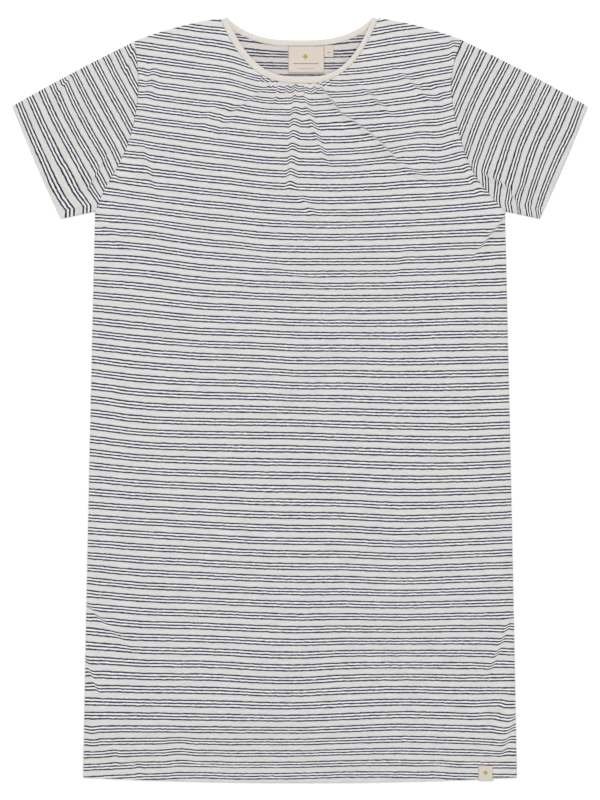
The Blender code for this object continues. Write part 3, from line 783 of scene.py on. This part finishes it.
def sheet_of_cloth(
    name, outline, creases, coarse, under, over, material, node, groups, patches
):
    """A panel: under and over give the height of its two faces at each point, groups the
    number of the group of stripes, and patches the faces' parts of its picture."""
    flat = np.vstack((outline, inner_points(outline, creases, coarse)))
    around = list(range(len(outline)))
    placed, _, triangles, *_ = delaunay_2d_cdt(
        [tuple(map(float, p)) for p in flat], [], [around], 1, 1e-4
    )
    x, y = np.array([(p[0], p[1]) for p in placed]).T
    low, high = under(x, y), over(x, y)
    rim = np.zeros(len(x))
    uses = {}
    for triangle in triangles:
        for a, b in zip(triangle, triangle[1:] + triangle[:1]):
            uses.setdefault((min(a, b), max(a, b)), []).append((a, b))
    border = [edges[0] for edges in uses.values() if len(edges) == 1]
    for a, _ in border:
        rim[a] = 1.0
    middle, half = (low + high) / 2, (high - low) / 2 * (1 - RIM_THINNER * rim)
    points, faces = layered(x, y, middle - half, middle + half, triangles, border)
    values = {"stripe": np.tile(groups(x, y), 2), "run": np.tile(x, 2)}
    corners = np.column_stack((x, y))[np.array(triangles)]
    places = [
        patch_places(patches[0], corners[:, ::-1]),
        patch_places(patches[1], corners),
        cell_places(len(border), *RIM_COLUMNS),
    ]
    places = np.concatenate([part.reshape(-1, 2) for part in places])
    return add_piece(name, points, faces, material, [node], values, places)


def sleeve_layout(side):
    """A function of the share of the way to the armhole, u, and from the sleeve's top edge
    to its lower edge, v, that gives the place; and the sleeve's edges."""
    armhole = spaced(armhole_line(side), 80) + (side * SEAM, 0.0)
    cuff_top, cuff_bottom = on_side(side, CUFF_TOP), on_side(side, CUFF_BOTTOM)
    cuff = bowed_line(cuff_top, cuff_bottom, side * CUFF_BOW, 80)
    top = bowed_line(cuff_top, armhole[0], -side * SLEEVE_TOP_BOW, 60)
    low = bowed_line(cuff_bottom, armhole[-1], 0.0, 60)

    def at(line, share):
        return read_line(line, np.linspace(0, 1, len(line)), share)

    def place(u, v):
        u, v = np.broadcast_arrays(np.asarray(u, dtype=float), np.asarray(v, dtype=float))
        du, dv = u[:, None], v[:, None]
        across = (1 - du) * at(cuff, v) + du * at(armhole, v)
        along = (1 - dv) * at(top, u) + dv * at(low, u)
        corners = (1 - du) * ((1 - dv) * cuff[0] + dv * cuff[-1])
        corners = corners + du * ((1 - dv) * armhole[0] + dv * armhole[-1])
        return across + along - corners

    seams = np.vstack((armhole[::-1], top[-2::-1], cuff[1:], low[1:]))
    return place, seams


def cuff_distance(side, x, y):
    """How far a point lies from the cuff, measured along the sleeve's top edge, and its
    share of the way down the cuff."""
    top = on_side(side, CUFF_TOP)
    down = on_side(side, CUFF_BOTTOM) - top
    inward = shoulder_line(side)[-1] - top
    inward = inward / np.hypot(*inward)
    turn = inward[0] * down[1] - inward[1] * down[0]
    dx, dy = x - top[0], y - top[1]
    distance = (dx * down[1] - dy * down[0]) / turn
    share = (inward[0] * dy - inward[1] * dx) / turn
    return distance, share


def ring_stops(length, near):
    """Shares of a section's length: some in millimetres near each end, even ones between."""
    first = np.array(near) / length
    between = np.linspace(first[-1], 1 - first[-1], SLEEVE_STOPS)[1:-1]
    return np.concatenate((first, between, 1 - first[::-1]))


# The columns of a sleeve's baked picture
SLEEVE_UPPER = (BAKE_EDGE, 0.445)
SLEEVE_LOWER = (0.455, 0.885)
SLEEVE_INNER = (0.895, 0.955)
SLEEVE_RIMS = ((0.962, 0.974), (0.98, 0.992))


# Near a sleeve's top and lower edge: how far the first points of an outer and of an inner
# ring lie from the edge, and their share of the height from the fold's middle
OUTER_NEAR = (0.0, 0.25, 0.9, 2.2, 4.0)
INNER_NEAR = (1.2, 1.35, 1.8, 2.8, 4.4)
FOLD_SHARES = (0.0, 0.42, 0.74, 0.94, 1.0)


def sleeve_rings(place, rise):
    """Rings of points, an outer and an inner one in turn, from the cuff to the armhole,
    and the share of the creases that counts at each point."""
    middle = WALL + GAP / 2
    rings, crease_shares = [], []
    for u in np.linspace(0.0, 1.0, SLEEVE_SECTIONS + 1):
        ends = place(np.array((u, u)), np.array((0.0, 1.0)))
        length = float(np.hypot(*(ends[1] - ends[0])))
        for near, inset in ((OUTER_NEAR, 0.0), (INNER_NEAR, CLOTH)):
            v = ring_stops(length, near)
            xy = place(np.full(len(v), u), v)
            part = np.ones(len(v))
            part[: len(FOLD_SHARES)] = FOLD_SHARES
            part[-len(FOLD_SHARES):] = FOLD_SHARES[::-1]
            full = FRONT_BASE + WALL + rise(xy[:, 0], xy[:, 1]) - inset
            upper = np.column_stack((xy, middle + (full - middle) * part))
            lower = np.column_stack((xy, middle + (inset - middle) * part))
            rings.append(np.vstack((upper, lower[-2:0:-1])))
            crease_shares += [np.ones(len(v)), (1 - part)[-2:0:-1]]
    return rings, np.concatenate(crease_shares)


def sleeve_faces(rings, size):
    """The faces between rings of size points each, and the places of their corners on the
    picture."""
    outer, inner = (range(first, rings * size, 2 * size) for first in (0, size))
    turn = size // 2
    v = np.linspace(BAKE_EDGE, 1 - BAKE_EDGE, len(outer))
    faces, places = [], []
    for k in range(size):
        n = (k + 1) % size
        column = SLEEVE_UPPER if k < turn else SLEEVE_LOWER
        u0, u1 = (np.interp(k % turn + s, (0, turn), column) for s in (0, 1))
        for i, (a, b) in enumerate(zip(outer, outer[1:])):
            faces.append((a + k, a + n, b + n, b + k))
            places += [(u0, v[i]), (u1, v[i]), (u1, v[i + 1]), (u0, v[i + 1])]
        u0, u1 = (np.interp(k + s, (0, size), SLEEVE_INNER) for s in (0, 1))
        for i, (a, b) in enumerate(zip(inner, inner[1:])):
            faces.append((a + k, b + k, b + n, a + n))
            places += [(u0, v[i]), (u0, v[i + 1]), (u1, v[i + 1]), (u1, v[i])]
        v0, v1 = (np.interp(k + s, (0, size), (BAKE_EDGE, 1 - BAKE_EDGE)) for s in (0, 1))
        for end, (u0, u1) in zip((0, -1), SLEEVE_RIMS):
            a, b = outer[end], inner[end]
            faces.append((a + k, b + k, b + n, a + n))
            places += [(u0, v0), (u1, v0), (u1, v1), (u0, v1)]
    return faces, places


def sleeve(side, name, node, material):
    """A flattened tube: a wall round a thin gap, open at both ends."""
    place, seams = sleeve_layout(side)
    rings, crease_shares = sleeve_rings(place, rise_of(seams[::2], None, SLEEVE_CREASES))
    faces, places = sleeve_faces(len(rings), len(rings[0]))
    points = np.vstack(rings)
    x, y = points[:, 0], points[:, 1]
    values = {
        "stripe": sleeve_groups(side, x, y, crease_shares),
        "run": cuff_distance(side, x, y)[1] * CUFF_LENGTH + SLEEVE_RUN_START * side,
    }
    return add_piece(name, points, faces, material, [node], values, places)


def tube_faces(rings, size, first=0):
    """The faces of a closed tube: rings of size points each, from the first point on."""
    last = first + (rings - 1) * size
    faces = [tuple(range(first, first + size)), tuple(reversed(range(last, last + size)))]
    for ring in range(first, last, size):
        for k in range(size):
            n = (k + 1) % size
            faces.append((ring + k, ring + n, ring + size + n, ring + size + k))
    return faces


def binding(name, neck, node, base, thickness, material):
    """A folded strip of plain jersey along the neckline's free edge."""
    edge = neck_edge(neck, BINDING_STEP)
    # each stop is a share of the width from the free edge and a share of the height
    turns = np.linspace(-0.5 * math.pi, 0.5 * math.pi, 9)
    roll = 0.16
    profile = [(roll - roll * math.cos(t), 0.5 + 0.5 * math.sin(t)) for t in turns]
    profile += [(0.35, 1.03), (0.5, 1.01), (0.62, 0.97), (0.74, 0.9)]
    profile += [(0.85, 0.8), (0.94, 0.66), (0.99, 0.54), (1.0, 0.4), (0.99, 0.0)]
    profile += [(0.7, 0.0), (0.4, 0.0)]
    wide = binding_width(neck, edge[:, 0])
    lines = [offset_line(edge, share * wide) for share, _ in profile]
    middle = offset_line(edge, 0.5 * wide)
    low, high = base(middle[:, 0], middle[:, 1]), thickness(middle[:, 0], middle[:, 1])
    count, size = len(edge), len(profile)
    points = np.zeros((count * size, 3))
    for k, (line, (_, share)) in enumerate(zip(lines, profile)):
        points[k::size, :2] = line
        points[k::size, 2] = low + share * high
    values = {
        "run": np.repeat(run_along(edge), size),
        "across": np.tile([share * neck.binding for share, _ in profile], count),
    }
    faces = tube_faces(count, size)
    return add_piece(name, points, faces, material, [node], values)


def add_label(name, label, node, points, faces, material, mark):
    values = {"across": points[:, 0] - label.left, "down": label.top - points[:, 1]}
    values["mark"] = np.full(len(points), mark)
    return add_piece(name, points, faces, material, [node], values)


def laid_label(name, label, node, under, material, mark):
    """A small woven patch; under gives the height of what it lies on."""
    columns, rows = 24, 20
    u, v = np.meshgrid(np.linspace(0, 1, columns + 1), np.linspace(0, 1, rows + 1))
    u, v = u.ravel(), v.ravel()
    x = label.left + (label.right - label.left) * u
    y = label.top + (label.bottom - label.top) * v
    edge = np.minimum.reduce([u * columns, (1 - u) * columns, v * rows, (1 - v) * rows])
    thin = label.thickness * np.where(edge < 0.5, 0.35, 0.5)
    level = under(x, y) + GAP + label.curl * v**2 + 0.12 * np.sin(3.1 * u + 0.6) * v
    middle = level + label.thickness / 2
    wide = columns + 1
    corners = [j * wide + i for j in range(rows) for i in range(columns)]
    cells = [(a + wide, a + wide + 1, a + 1, a) for a in corners]
    ring = [*range(wide), *range(wide + columns, len(u), wide)]
    ring += [*range(len(u) - 2, rows * wide - 1, -1), *range((rows - 1) * wide, 0, -wide)]
    border = zip(ring, ring[1:] + ring[:1])
    points, faces = layered(x, y, middle - thin, middle + thin, cells, border)
    return add_label(name, label, node, points, faces, material, mark)


def folded_label(name, label, node, under, material, mark):
    """The small label that is folded down over the front hem's edge."""
    sections, rows = 12, 12
    rings = []
    inner = label.bottom + HEM_LABEL_LIP
    for x in np.linspace(label.left, label.right, sections + 1):
        xs = np.full(rows + 1, x)
        y = np.linspace(label.top, inner, rows + 1)
        z = under(xs, np.maximum(y, hem_height(xs) + GAP)) + 0.15
        level, thick = z[-1], label.thickness
        fold = [(x, inner, FRONT_BASE), (x, label.bottom + 0.3, FRONT_BASE)]
        fold += [(x, label.bottom, FRONT_BASE + 0.5), (x, label.bottom, level)]
        fold += [(x, label.bottom + 0.25, level + 0.65 * thick)]
        top = list(zip(xs, y[::-1], z[::-1] + thick))
        top[0] = (x, inner, level + thick)
        rings.append(list(zip(xs, y, z)) + fold + top)
    faces = tube_faces(len(rings), len(rings[0]))
    points = np.array([point for ring in rings for point in ring])
    return add_label(name, label, node, points, faces, material, mark)


def stitches(name, rows, material):
    """Rows of thread: each row is a line of points on the cloth, in space, and each
    stitch a small rounded length of thread that dips into it at both ends."""
    # each ring: its share of the way, its width and how far it is lifted
    profile = ((0.0, 0.15, -0.6), (0.18, 0.9, 0.0), (0.5, 1.0, 0.35), (0.82, 0.9, 0.0),
               (1.0, 0.15, -0.6))
    sides = 5
    up = np.array((0.0, 0.0, 1.0))
    points, faces = [], []
    for line in rows:
        run = np.concatenate(([0.0], np.cumsum(np.linalg.norm(np.diff(line, axis=0), axis=1))))
        for start in np.arange(1.0, run[-1] - STITCH, STITCH_PITCH):
            first, last = read_line(line, run, (start, start + STITCH))
            way = last - first
            side = np.cross(way / np.linalg.norm(way), up)
            faces += tube_faces(len(profile), sides, len(points))
            for share, wide, lift in profile:
                middle = first + way * share + up * THREAD * lift
                for turn in 2 * math.pi * np.arange(sides) / sides:
                    out = side * math.cos(turn) + up * math.sin(turn)
                    points.append(middle + out * THREAD * wide)
    return add_piece(name, points, faces, material, [])


# Materials


class Value:
    """A shader socket. Python's arithmetic on it adds Math nodes."""

    def __init__(self, recipe, socket):
        self.recipe = recipe
        self.socket = socket

    def maths(self, operation, *values):
        settings = {"operation": operation}
        return self.recipe.node("ShaderNodeMath", settings, dict(enumerate(values)))

    def __add__(self, other):
        return self.maths("ADD", self, other)

    def __sub__(self, other):
        return self.maths("SUBTRACT", self, other)

    def __rsub__(self, other):
        return self.maths("SUBTRACT", other, self)

    def __mul__(self, other):
        return self.maths("MULTIPLY", self, other)

    def __truediv__(self, other):
        return self.maths("DIVIDE", self, other)

    def __abs__(self):
        return self.maths("ABSOLUTE", self)

    __radd__ = __add__
    __rmul__ = __mul__

    def nearest_whole(self):
        return self.maths("ROUND", self)

    def lower_of(self, other):
        return self.maths("MINIMUM", self, other)

    def ramp(self, low, high, start=0.0, end=1.0):
        """start up to low, end from high, and a smooth change between."""
        settings = {"interpolation_type": "SMOOTHSTEP"}
        inputs = {"Value": self, "From Min": low, "From Max": high, "To Min": start,
                  "To Max": end}
        return self.recipe.node("ShaderNodeMapRange", settings, inputs)


class Recipe:
    """A material: its Principled shader, and the nodes that feed it."""

    def __init__(self, name):
        self.material = bpy.data.materials.new(name)
        self.material.use_nodes = True
        self.tree = self.material.node_tree
        self.shader = self.tree.nodes["Principled BSDF"]

    def connect(self, value, socket):
        if isinstance(value, Value):
            self.tree.links.new(value.socket, socket)
        else:
            socket.default_value = value

    def node(self, kind, settings=None, inputs=None, output=0):
        """A node of a kind, its settings first and then its sockets' values or links."""
        made = self.tree.nodes.new(kind)
        for key, setting in (settings or {}).items():
            setattr(made, key, setting)
        for key, value in (inputs or {}).items():
            self.connect(value, made.inputs[key])
        return Value(self, made.outputs[output])

    def on_cloth(self, name):
        """A number that the mesh carries at each point."""
        return self.node("ShaderNodeAttribute", {"attribute_name": name}, output="Fac")

    def place(self, x, y, z=0.0):
        return self.node("ShaderNodeCombineXYZ", None, {"X": x, "Y": y, "Z": z})

    def noise(self, place, scale, detail=2.0, roughness=0.5):
        """Soft noise from about 0 to 1, at a place."""
        inputs = {"Vector": place, "Scale": scale, "Detail": detail, "Roughness": roughness}
        return self.node("ShaderNodeTexNoise", {"noise_dimensions": "3D"}, inputs)

    def waves(self, direction, place, distortion, detail_scale=1.0):
        """Soft bands across a direction, one for each WAVE of its length."""
        settings = {"wave_type": "BANDS", "bands_direction": direction}
        inputs = {"Vector": place, "Scale": 1.0, "Distortion": distortion, "Detail": 1.0,
                  "Detail Scale": detail_scale}
        return self.node("ShaderNodeTexWave", settings, inputs, output="Fac")

    def blend(self, share, first, second):
        """A colour between two."""
        inputs = {0: share, 6: first, 7: second}
        return self.node("ShaderNodeMix", {"data_type": "RGBA"}, inputs, output=2)

    def finish(self, colour, roughness, height, depth):
        """Joins the looks to the shader. depth is the height's full size in metres."""
        self.connect(colour, self.shader.inputs["Base Color"])
        self.connect(roughness, self.shader.inputs["Roughness"])
        raised = self.node("ShaderNodeBump", None, {"Height": height, "Distance": depth})
        self.connect(raised, self.shader.inputs["Normal"])
        self.shader.inputs["Specular IOR Level"].default_value = 0.25
        self.shader.inputs["Sheen Weight"].default_value = 0.15
        self.shader.inputs["Sheen Roughness"].default_value = 0.6
        return self.material


def colour(red, green, blue):
    """A colour from its values of 0 to 255 as they are seen."""
    linear = [((c / 255 + 0.055) / 1.055) ** 2.4 for c in (red, green, blue)]
    return (*linear, 1.0)


# How a piece of the jersey shows: its pale ground and its darker courses, the paler ground
# between a group's lines, the ink and where it is worn, and half of a line's thickness in
# groups
Dye = namedtuple("Dye", "ground course between ink worn half")
FRONT_DYE = Dye(
    ground=colour(219, 217, 213), course=colour(204, 201, 198), between=colour(231, 230, 228),
    ink=colour(50, 54, 79), worn=colour(74, 78, 101), half=0.059,
)
# The sleeves are cut from the same jersey as the front. These darker colours of ground, lines
# and ink are painted shade, not a different dye.
SLEEVE_DYE_SHADED = Dye(
    ground=colour(215, 213, 209), course=colour(200, 197, 194), between=colour(226, 224, 222),
    ink=colour(35, 38, 64), worn=colour(58, 61, 87), half=0.058,
)
# The inside of the back panel is darker in part because it is the jersey's reverse side, and in
# part as painted shade from the front layer that lies over it.
INSIDE_DYE_AND_SHADE = Dye(
    ground=colour(207, 202, 198), course=colour(196, 191, 187), between=colour(213, 208, 204),
    ink=colour(42, 46, 72), worn=colour(68, 72, 96), half=0.062,
)
CREAM = colour(214, 208, 201)
CREAM_SHADE = colour(206, 200, 192)
CREAM_PALE = colour(219, 213, 205)
TAPE = colour(231, 219, 207)
TAPE_SHADE = colour(223, 210, 197)
OLIVE = colour(168, 170, 62)
GREY_MARK = colour(122, 116, 108)
THREAD_COLOUR = colour(226, 221, 212)
THREAD_SHADE = colour(214, 208, 199)

NECK_MARK = 1.0  # which label's marks a piece of tape carries
HEM_MARK = 2.0
TAB_MARK = 3.0

LINE_AT = 0.232  # how far the outer lines lie from the middle one, in groups
LINE_SOFT = 0.018
WANDER = 0.07  # how far the lines wander and jitter, and how uneven their width is, also
JITTER = 0.11  # in groups
SLUB = 0.045
COURSE = 0.9  # millimetres from one row of knit loops to the next
WALE = 0.95  # millimetres from one column of loops to the next
WAVE = 0.314  # the length of one of the wave texture's bands


def striped_jersey(name, dye):
    """Slubby jersey with groups of three thin navy lines on a pale ground. The mesh's
    stripe number counts the groups, and its run is the way along the stripes."""
    cloth = Recipe(name)
    stripe, run = cloth.on_cloth("stripe"), cloth.on_cloth("run")
    across = stripe * STRIPE_PITCH
    wave = cloth.noise(cloth.place(run * 0.045, across * 0.05), 1.0, 2.0)
    jitter = cloth.noise(cloth.place(run * 0.16, across * 0.22, 5.0), 1.0, 3.0, 0.6)
    placed = stripe + (wave - 0.5) * WANDER + (jitter - 0.5) * JITTER
    part = placed - placed.nearest_whole()
    beside = abs(part)
    from_line = beside.lower_of(abs(beside - LINE_AT))
    slub = cloth.noise(cloth.place(run * 0.22, across * 0.4, 9.0), 1.0, 3.0, 0.6)
    half = dye.half + (slub - 0.5) * SLUB
    line = (from_line - half).ramp(-LINE_SOFT, LINE_SOFT, 1.0, 0.0)
    in_group = beside.ramp(0.24, 0.30, 1.0, 0.0)

    courses = cloth.noise(cloth.place(run * 0.04, across * 0.6, 2.0), 1.0, 3.0, 0.65)
    mottle = cloth.noise(cloth.place(run * 0.25, across * 0.9, 7.0), 1.0, 2.0)
    ground = cloth.blend(courses.ramp(0.3, 0.7), dye.course, dye.ground)
    ground = cloth.blend(in_group, ground, dye.between)
    ink = cloth.blend(mottle.ramp(0.45, 0.8, 0.0, 0.4), dye.ink, dye.worn)
    dyed = cloth.blend(line, ground, ink)

    knit = cloth.place(run / WALE * WAVE, across / COURSE * WAVE)
    loops = cloth.waves("X", knit, 1.5, 2.0)
    rows = cloth.waves("Y", knit, 1.0, 2.0)
    height = 0.25 * loops + 0.3 * rows + 0.6 * courses + 0.3 * mottle
    rough = 0.82 + 0.12 * mottle
    return cloth.finish(dyed, rough, height, 0.00028)


def plain_jersey(name):
    """The binding's plain jersey, cut across the knit and folded."""
    cloth = Recipe(name)
    run, across = cloth.on_cloth("run"), cloth.on_cloth("across")
    streaks = cloth.noise(cloth.place(run * 0.9, across * 0.12), 1.0, 3.0, 0.6)
    mottle = cloth.noise(cloth.place(run * 0.05, across * 0.2, 4.0), 1.0, 2.0)
    body = cloth.blend(streaks.ramp(0.3, 0.7), CREAM_SHADE, CREAM)
    body = cloth.blend(mottle.ramp(0.4, 0.7, 0.0, 0.35), body, CREAM_PALE)
    return cloth.finish(body, 0.84 + 0.1 * streaks, streaks, 0.0003)


def within(value, low, high, soft=0.12):
    """1 where a value lies between low and high, 0 elsewhere, with soft edges."""
    return value.ramp(low - soft, low + soft) * value.ramp(high - soft, high + soft, 1.0, 0.0)


def woven_tape(name):
    """A label's smooth woven tape, with plain marks: an olive lozenge and grey rules."""
    tape = Recipe(name)
    across, down = tape.on_cloth("across"), tape.on_cloth("down")
    mark = tape.on_cloth("mark")
    twill = tape.waves("DIAGONAL", tape.place(across * 0.9, down * 0.9), 0.6)
    threads = tape.noise(tape.place(across * 3.0, down * 0.5), 1.0, 2.0)
    body = tape.blend(threads.ramp(0.3, 0.7), TAPE_SHADE, TAPE)
    on_neck, on_hem, on_tab = (
        within(mark, which - 0.5, which + 0.5, 0.1) for which in (NECK_MARK, HEM_MARK, TAB_MARK)
    )
    lozenge = (abs(across - 20.5) + abs(down - 12.5)).ramp(3.3, 3.6, 1.0, 0.0) * on_neck
    hem_lozenge = (abs(across - 8.6) + abs(down - 8.6)).ramp(3.0, 3.3, 1.0, 0.0) * on_hem
    upper_rule = within(across, 6.0, 36.5) * within(down, 20.6, 21.7) * on_neck
    lower_rule = within(across, 11.5, 31.0) * within(down, 26.9, 27.6) * on_neck
    tab_rule = within(across, 3.4, 7.8) * within(down, 8.4, 9.3) * on_tab
    body = tape.blend((lozenge + hem_lozenge) * 0.9, body, OLIVE)
    body = tape.blend(upper_rule * 0.8 + lower_rule * 0.6 + tab_rule * 0.8, body, GREY_MARK)
    return tape.finish(body, 0.62 + 0.1 * threads, twill, 0.0002)


def cotton_thread(name):
    thread = Recipe(name)
    grain = thread.noise(thread.node("ShaderNodeTexCoord", output="Object"), 1800.0)
    body = thread.blend(grain, THREAD_COLOUR, THREAD_SHADE)
    return thread.finish(body, 0.7 + 0.1 * grain, grain, 0.0001)


# The pieces

FRONT_CREASES = CREASES + gather_creases()


def make_garment():
    outer_jersey = striped_jersey("striped jersey, front", FRONT_DYE)
    # the sleeves' jersey is the front's jersey painted darker, as painted shade
    shaded_sleeve_jersey = striped_jersey("striped jersey, sleeves, painted shade", SLEEVE_DYE_SHADED)
    # the back's inside colours are the reverse side's own, with painted shade from the front
    # layer
    inner_jersey_and_shade = striped_jersey("striped jersey, back, reverse side and painted shade", INSIDE_DYE_AND_SHADE)
    plain = plain_jersey("plain jersey binding")
    tape = woven_tape("woven label tape")
    thread = cotton_thread("cotton sewing thread")

    outline = body_outline(FRONT_NECK, SEAM_STEP)
    neckline = sewn_edge(FRONT_NECK, NECKLINE_STEP)
    seams = np.array([p for p in outline if distance_to(neckline, p[0], p[1]) > 0.5])
    rise = rise_of(seams, neckline, FRONT_CREASES)

    def front_under(x, y):
        return FRONT_BASE + rise(x, y) + WALL - CLOTH

    def front_over(x, y):
        return FRONT_BASE + rise(x, y) + WALL

    def back_under(x, y):
        return crease_rise(BACK_CREASES, x, y)

    def back_over(x, y):
        return np.full(np.shape(x), WALL)

    front = sheet_of_cloth(
        "jersey_front", body_outline(FRONT_NECK, OUTLINE_STEP), FRONT_CREASES, COARSE,
        front_under, front_over, outer_jersey, "front_panel", front_groups, FRONT_PATCHES,
    )
    back = sheet_of_cloth(
        "jersey_back", body_outline(BACK_NECK, OUTLINE_STEP), [], BACK_COARSE,
        back_under, back_over, inner_jersey_and_shade, "back_panel", back_groups, BACK_PATCHES,
    )
    right = sleeve(-1, "jersey_sleeve_right", "sleeve_right", shaded_sleeve_jersey)
    left = sleeve(1, "jersey_sleeve_left", "sleeve_left", shaded_sleeve_jersey)

    def binding_base(x, y):
        return FRONT_BASE + rise(x, y, CREASE_UNDER_BINDING)

    def binding_height(x, y):
        return np.full(np.shape(x), BINDING_THICKNESS)

    def back_binding_height(x, y):
        shown = 1 - smooth_step((np.abs(x) - BACK_BINDING_SHOWN) / BACK_BINDING_FADE)
        return WALL + BACK_BINDING_EXTRA * shown

    def on_the_floor(x, y):
        return np.zeros(np.shape(x))

    front_band = binding(
        "binding_front", FRONT_NECK, "neck_binding_front", binding_base, binding_height, plain
    )
    back_band = binding(
        "binding_back", BACK_NECK, "neck_binding_back", on_the_floor, back_binding_height, plain
    )
    label = laid_label("label_neck", NECK_LABEL, "neck_label", back_over, tape, NECK_MARK)
    tab = laid_label("label_size", SIZE_TAB, "size_tab", back_over, tape, TAB_MARK)
    flag = folded_label("label_hem", HEM_LABEL, "hem_label", front_over, tape, HEM_MARK)

    hem_rows = []
    for above in HEM_ROWS:
        reach = HEM_HALF_WIDTH - HEM_ROW_END
        x = np.linspace(-reach, reach, 300)
        y = hem_height(x) + above
        hem_rows.append(np.column_stack((x, y, front_over(x, y))))
    stitches("stitches_hem", hem_rows, thread)


# The floor, the light and the camera, in metres

FLOOR_HALF = 20.0
LENS = 100.0  # these two in millimetres
SENSOR = 36.0
FRAME_HEIGHT = 0.972  # what the picture shows from its top to its bottom
CLOTH_LEVEL = 0.004  # the height at which it shows that much


def make_floor():
    floor_recipe = Recipe("white studio floor")
    floor_recipe.shader.inputs["Base Color"].default_value = (0.96, 0.96, 0.96, 1.0)
    floor_recipe.shader.inputs["Roughness"].default_value = 0.95
    mesh = bpy.data.meshes.new("floor")
    half = FLOOR_HALF
    corners = [(-half, -half, 0), (half, -half, 0), (half, half, 0), (-half, half, 0)]
    mesh.from_pydata(corners, [], [(0, 1, 2, 3)])
    mesh.materials.append(floor_recipe.material)
    add_object("floor", mesh)


def add_light(name, place, size, watts):
    """A square light that shines on the middle of the cloth."""
    data = bpy.data.lights.new(name, "AREA")
    data.shape = "SQUARE"
    data.size = size
    data.energy = watts
    light = add_object(name, data)
    light.location = place
    light.rotation_euler = (-Vector(place)).to_track_quat("-Z", "Y").to_euler()


def make_studio():
    world = bpy.data.worlds.new("studio")
    world.use_nodes = True
    world.node_tree.nodes["Background"].inputs["Color"].default_value = (1.0, 1.0, 1.0, 1.0)
    world.node_tree.nodes["Background"].inputs["Strength"].default_value = 0.6
    bpy.context.scene.world = world
    add_light("soft key", (-1.2, 2.6, 4.4), size=2.2, watts=132.0)
    add_light("soft fill", (2.4, -1.8, 4.6), size=2.6, watts=62.0)

    view = bpy.context.scene.view_settings
    view.view_transform = "Standard"
    view.look = "None"
    view.exposure = 0.0
    view.gamma = 1.0


def make_camera():
    data = bpy.data.cameras.new("camera")
    data.lens = LENS
    data.sensor_width = SENSOR
    data.sensor_fit = "AUTO"
    camera = add_object("camera", data)
    camera.location = (0.0, 0.0, LENS / SENSOR * FRAME_HEIGHT + CLOTH_LEVEL)
    bpy.context.scene.camera = camera


make_floor()
make_garment()
make_studio()
make_camera()
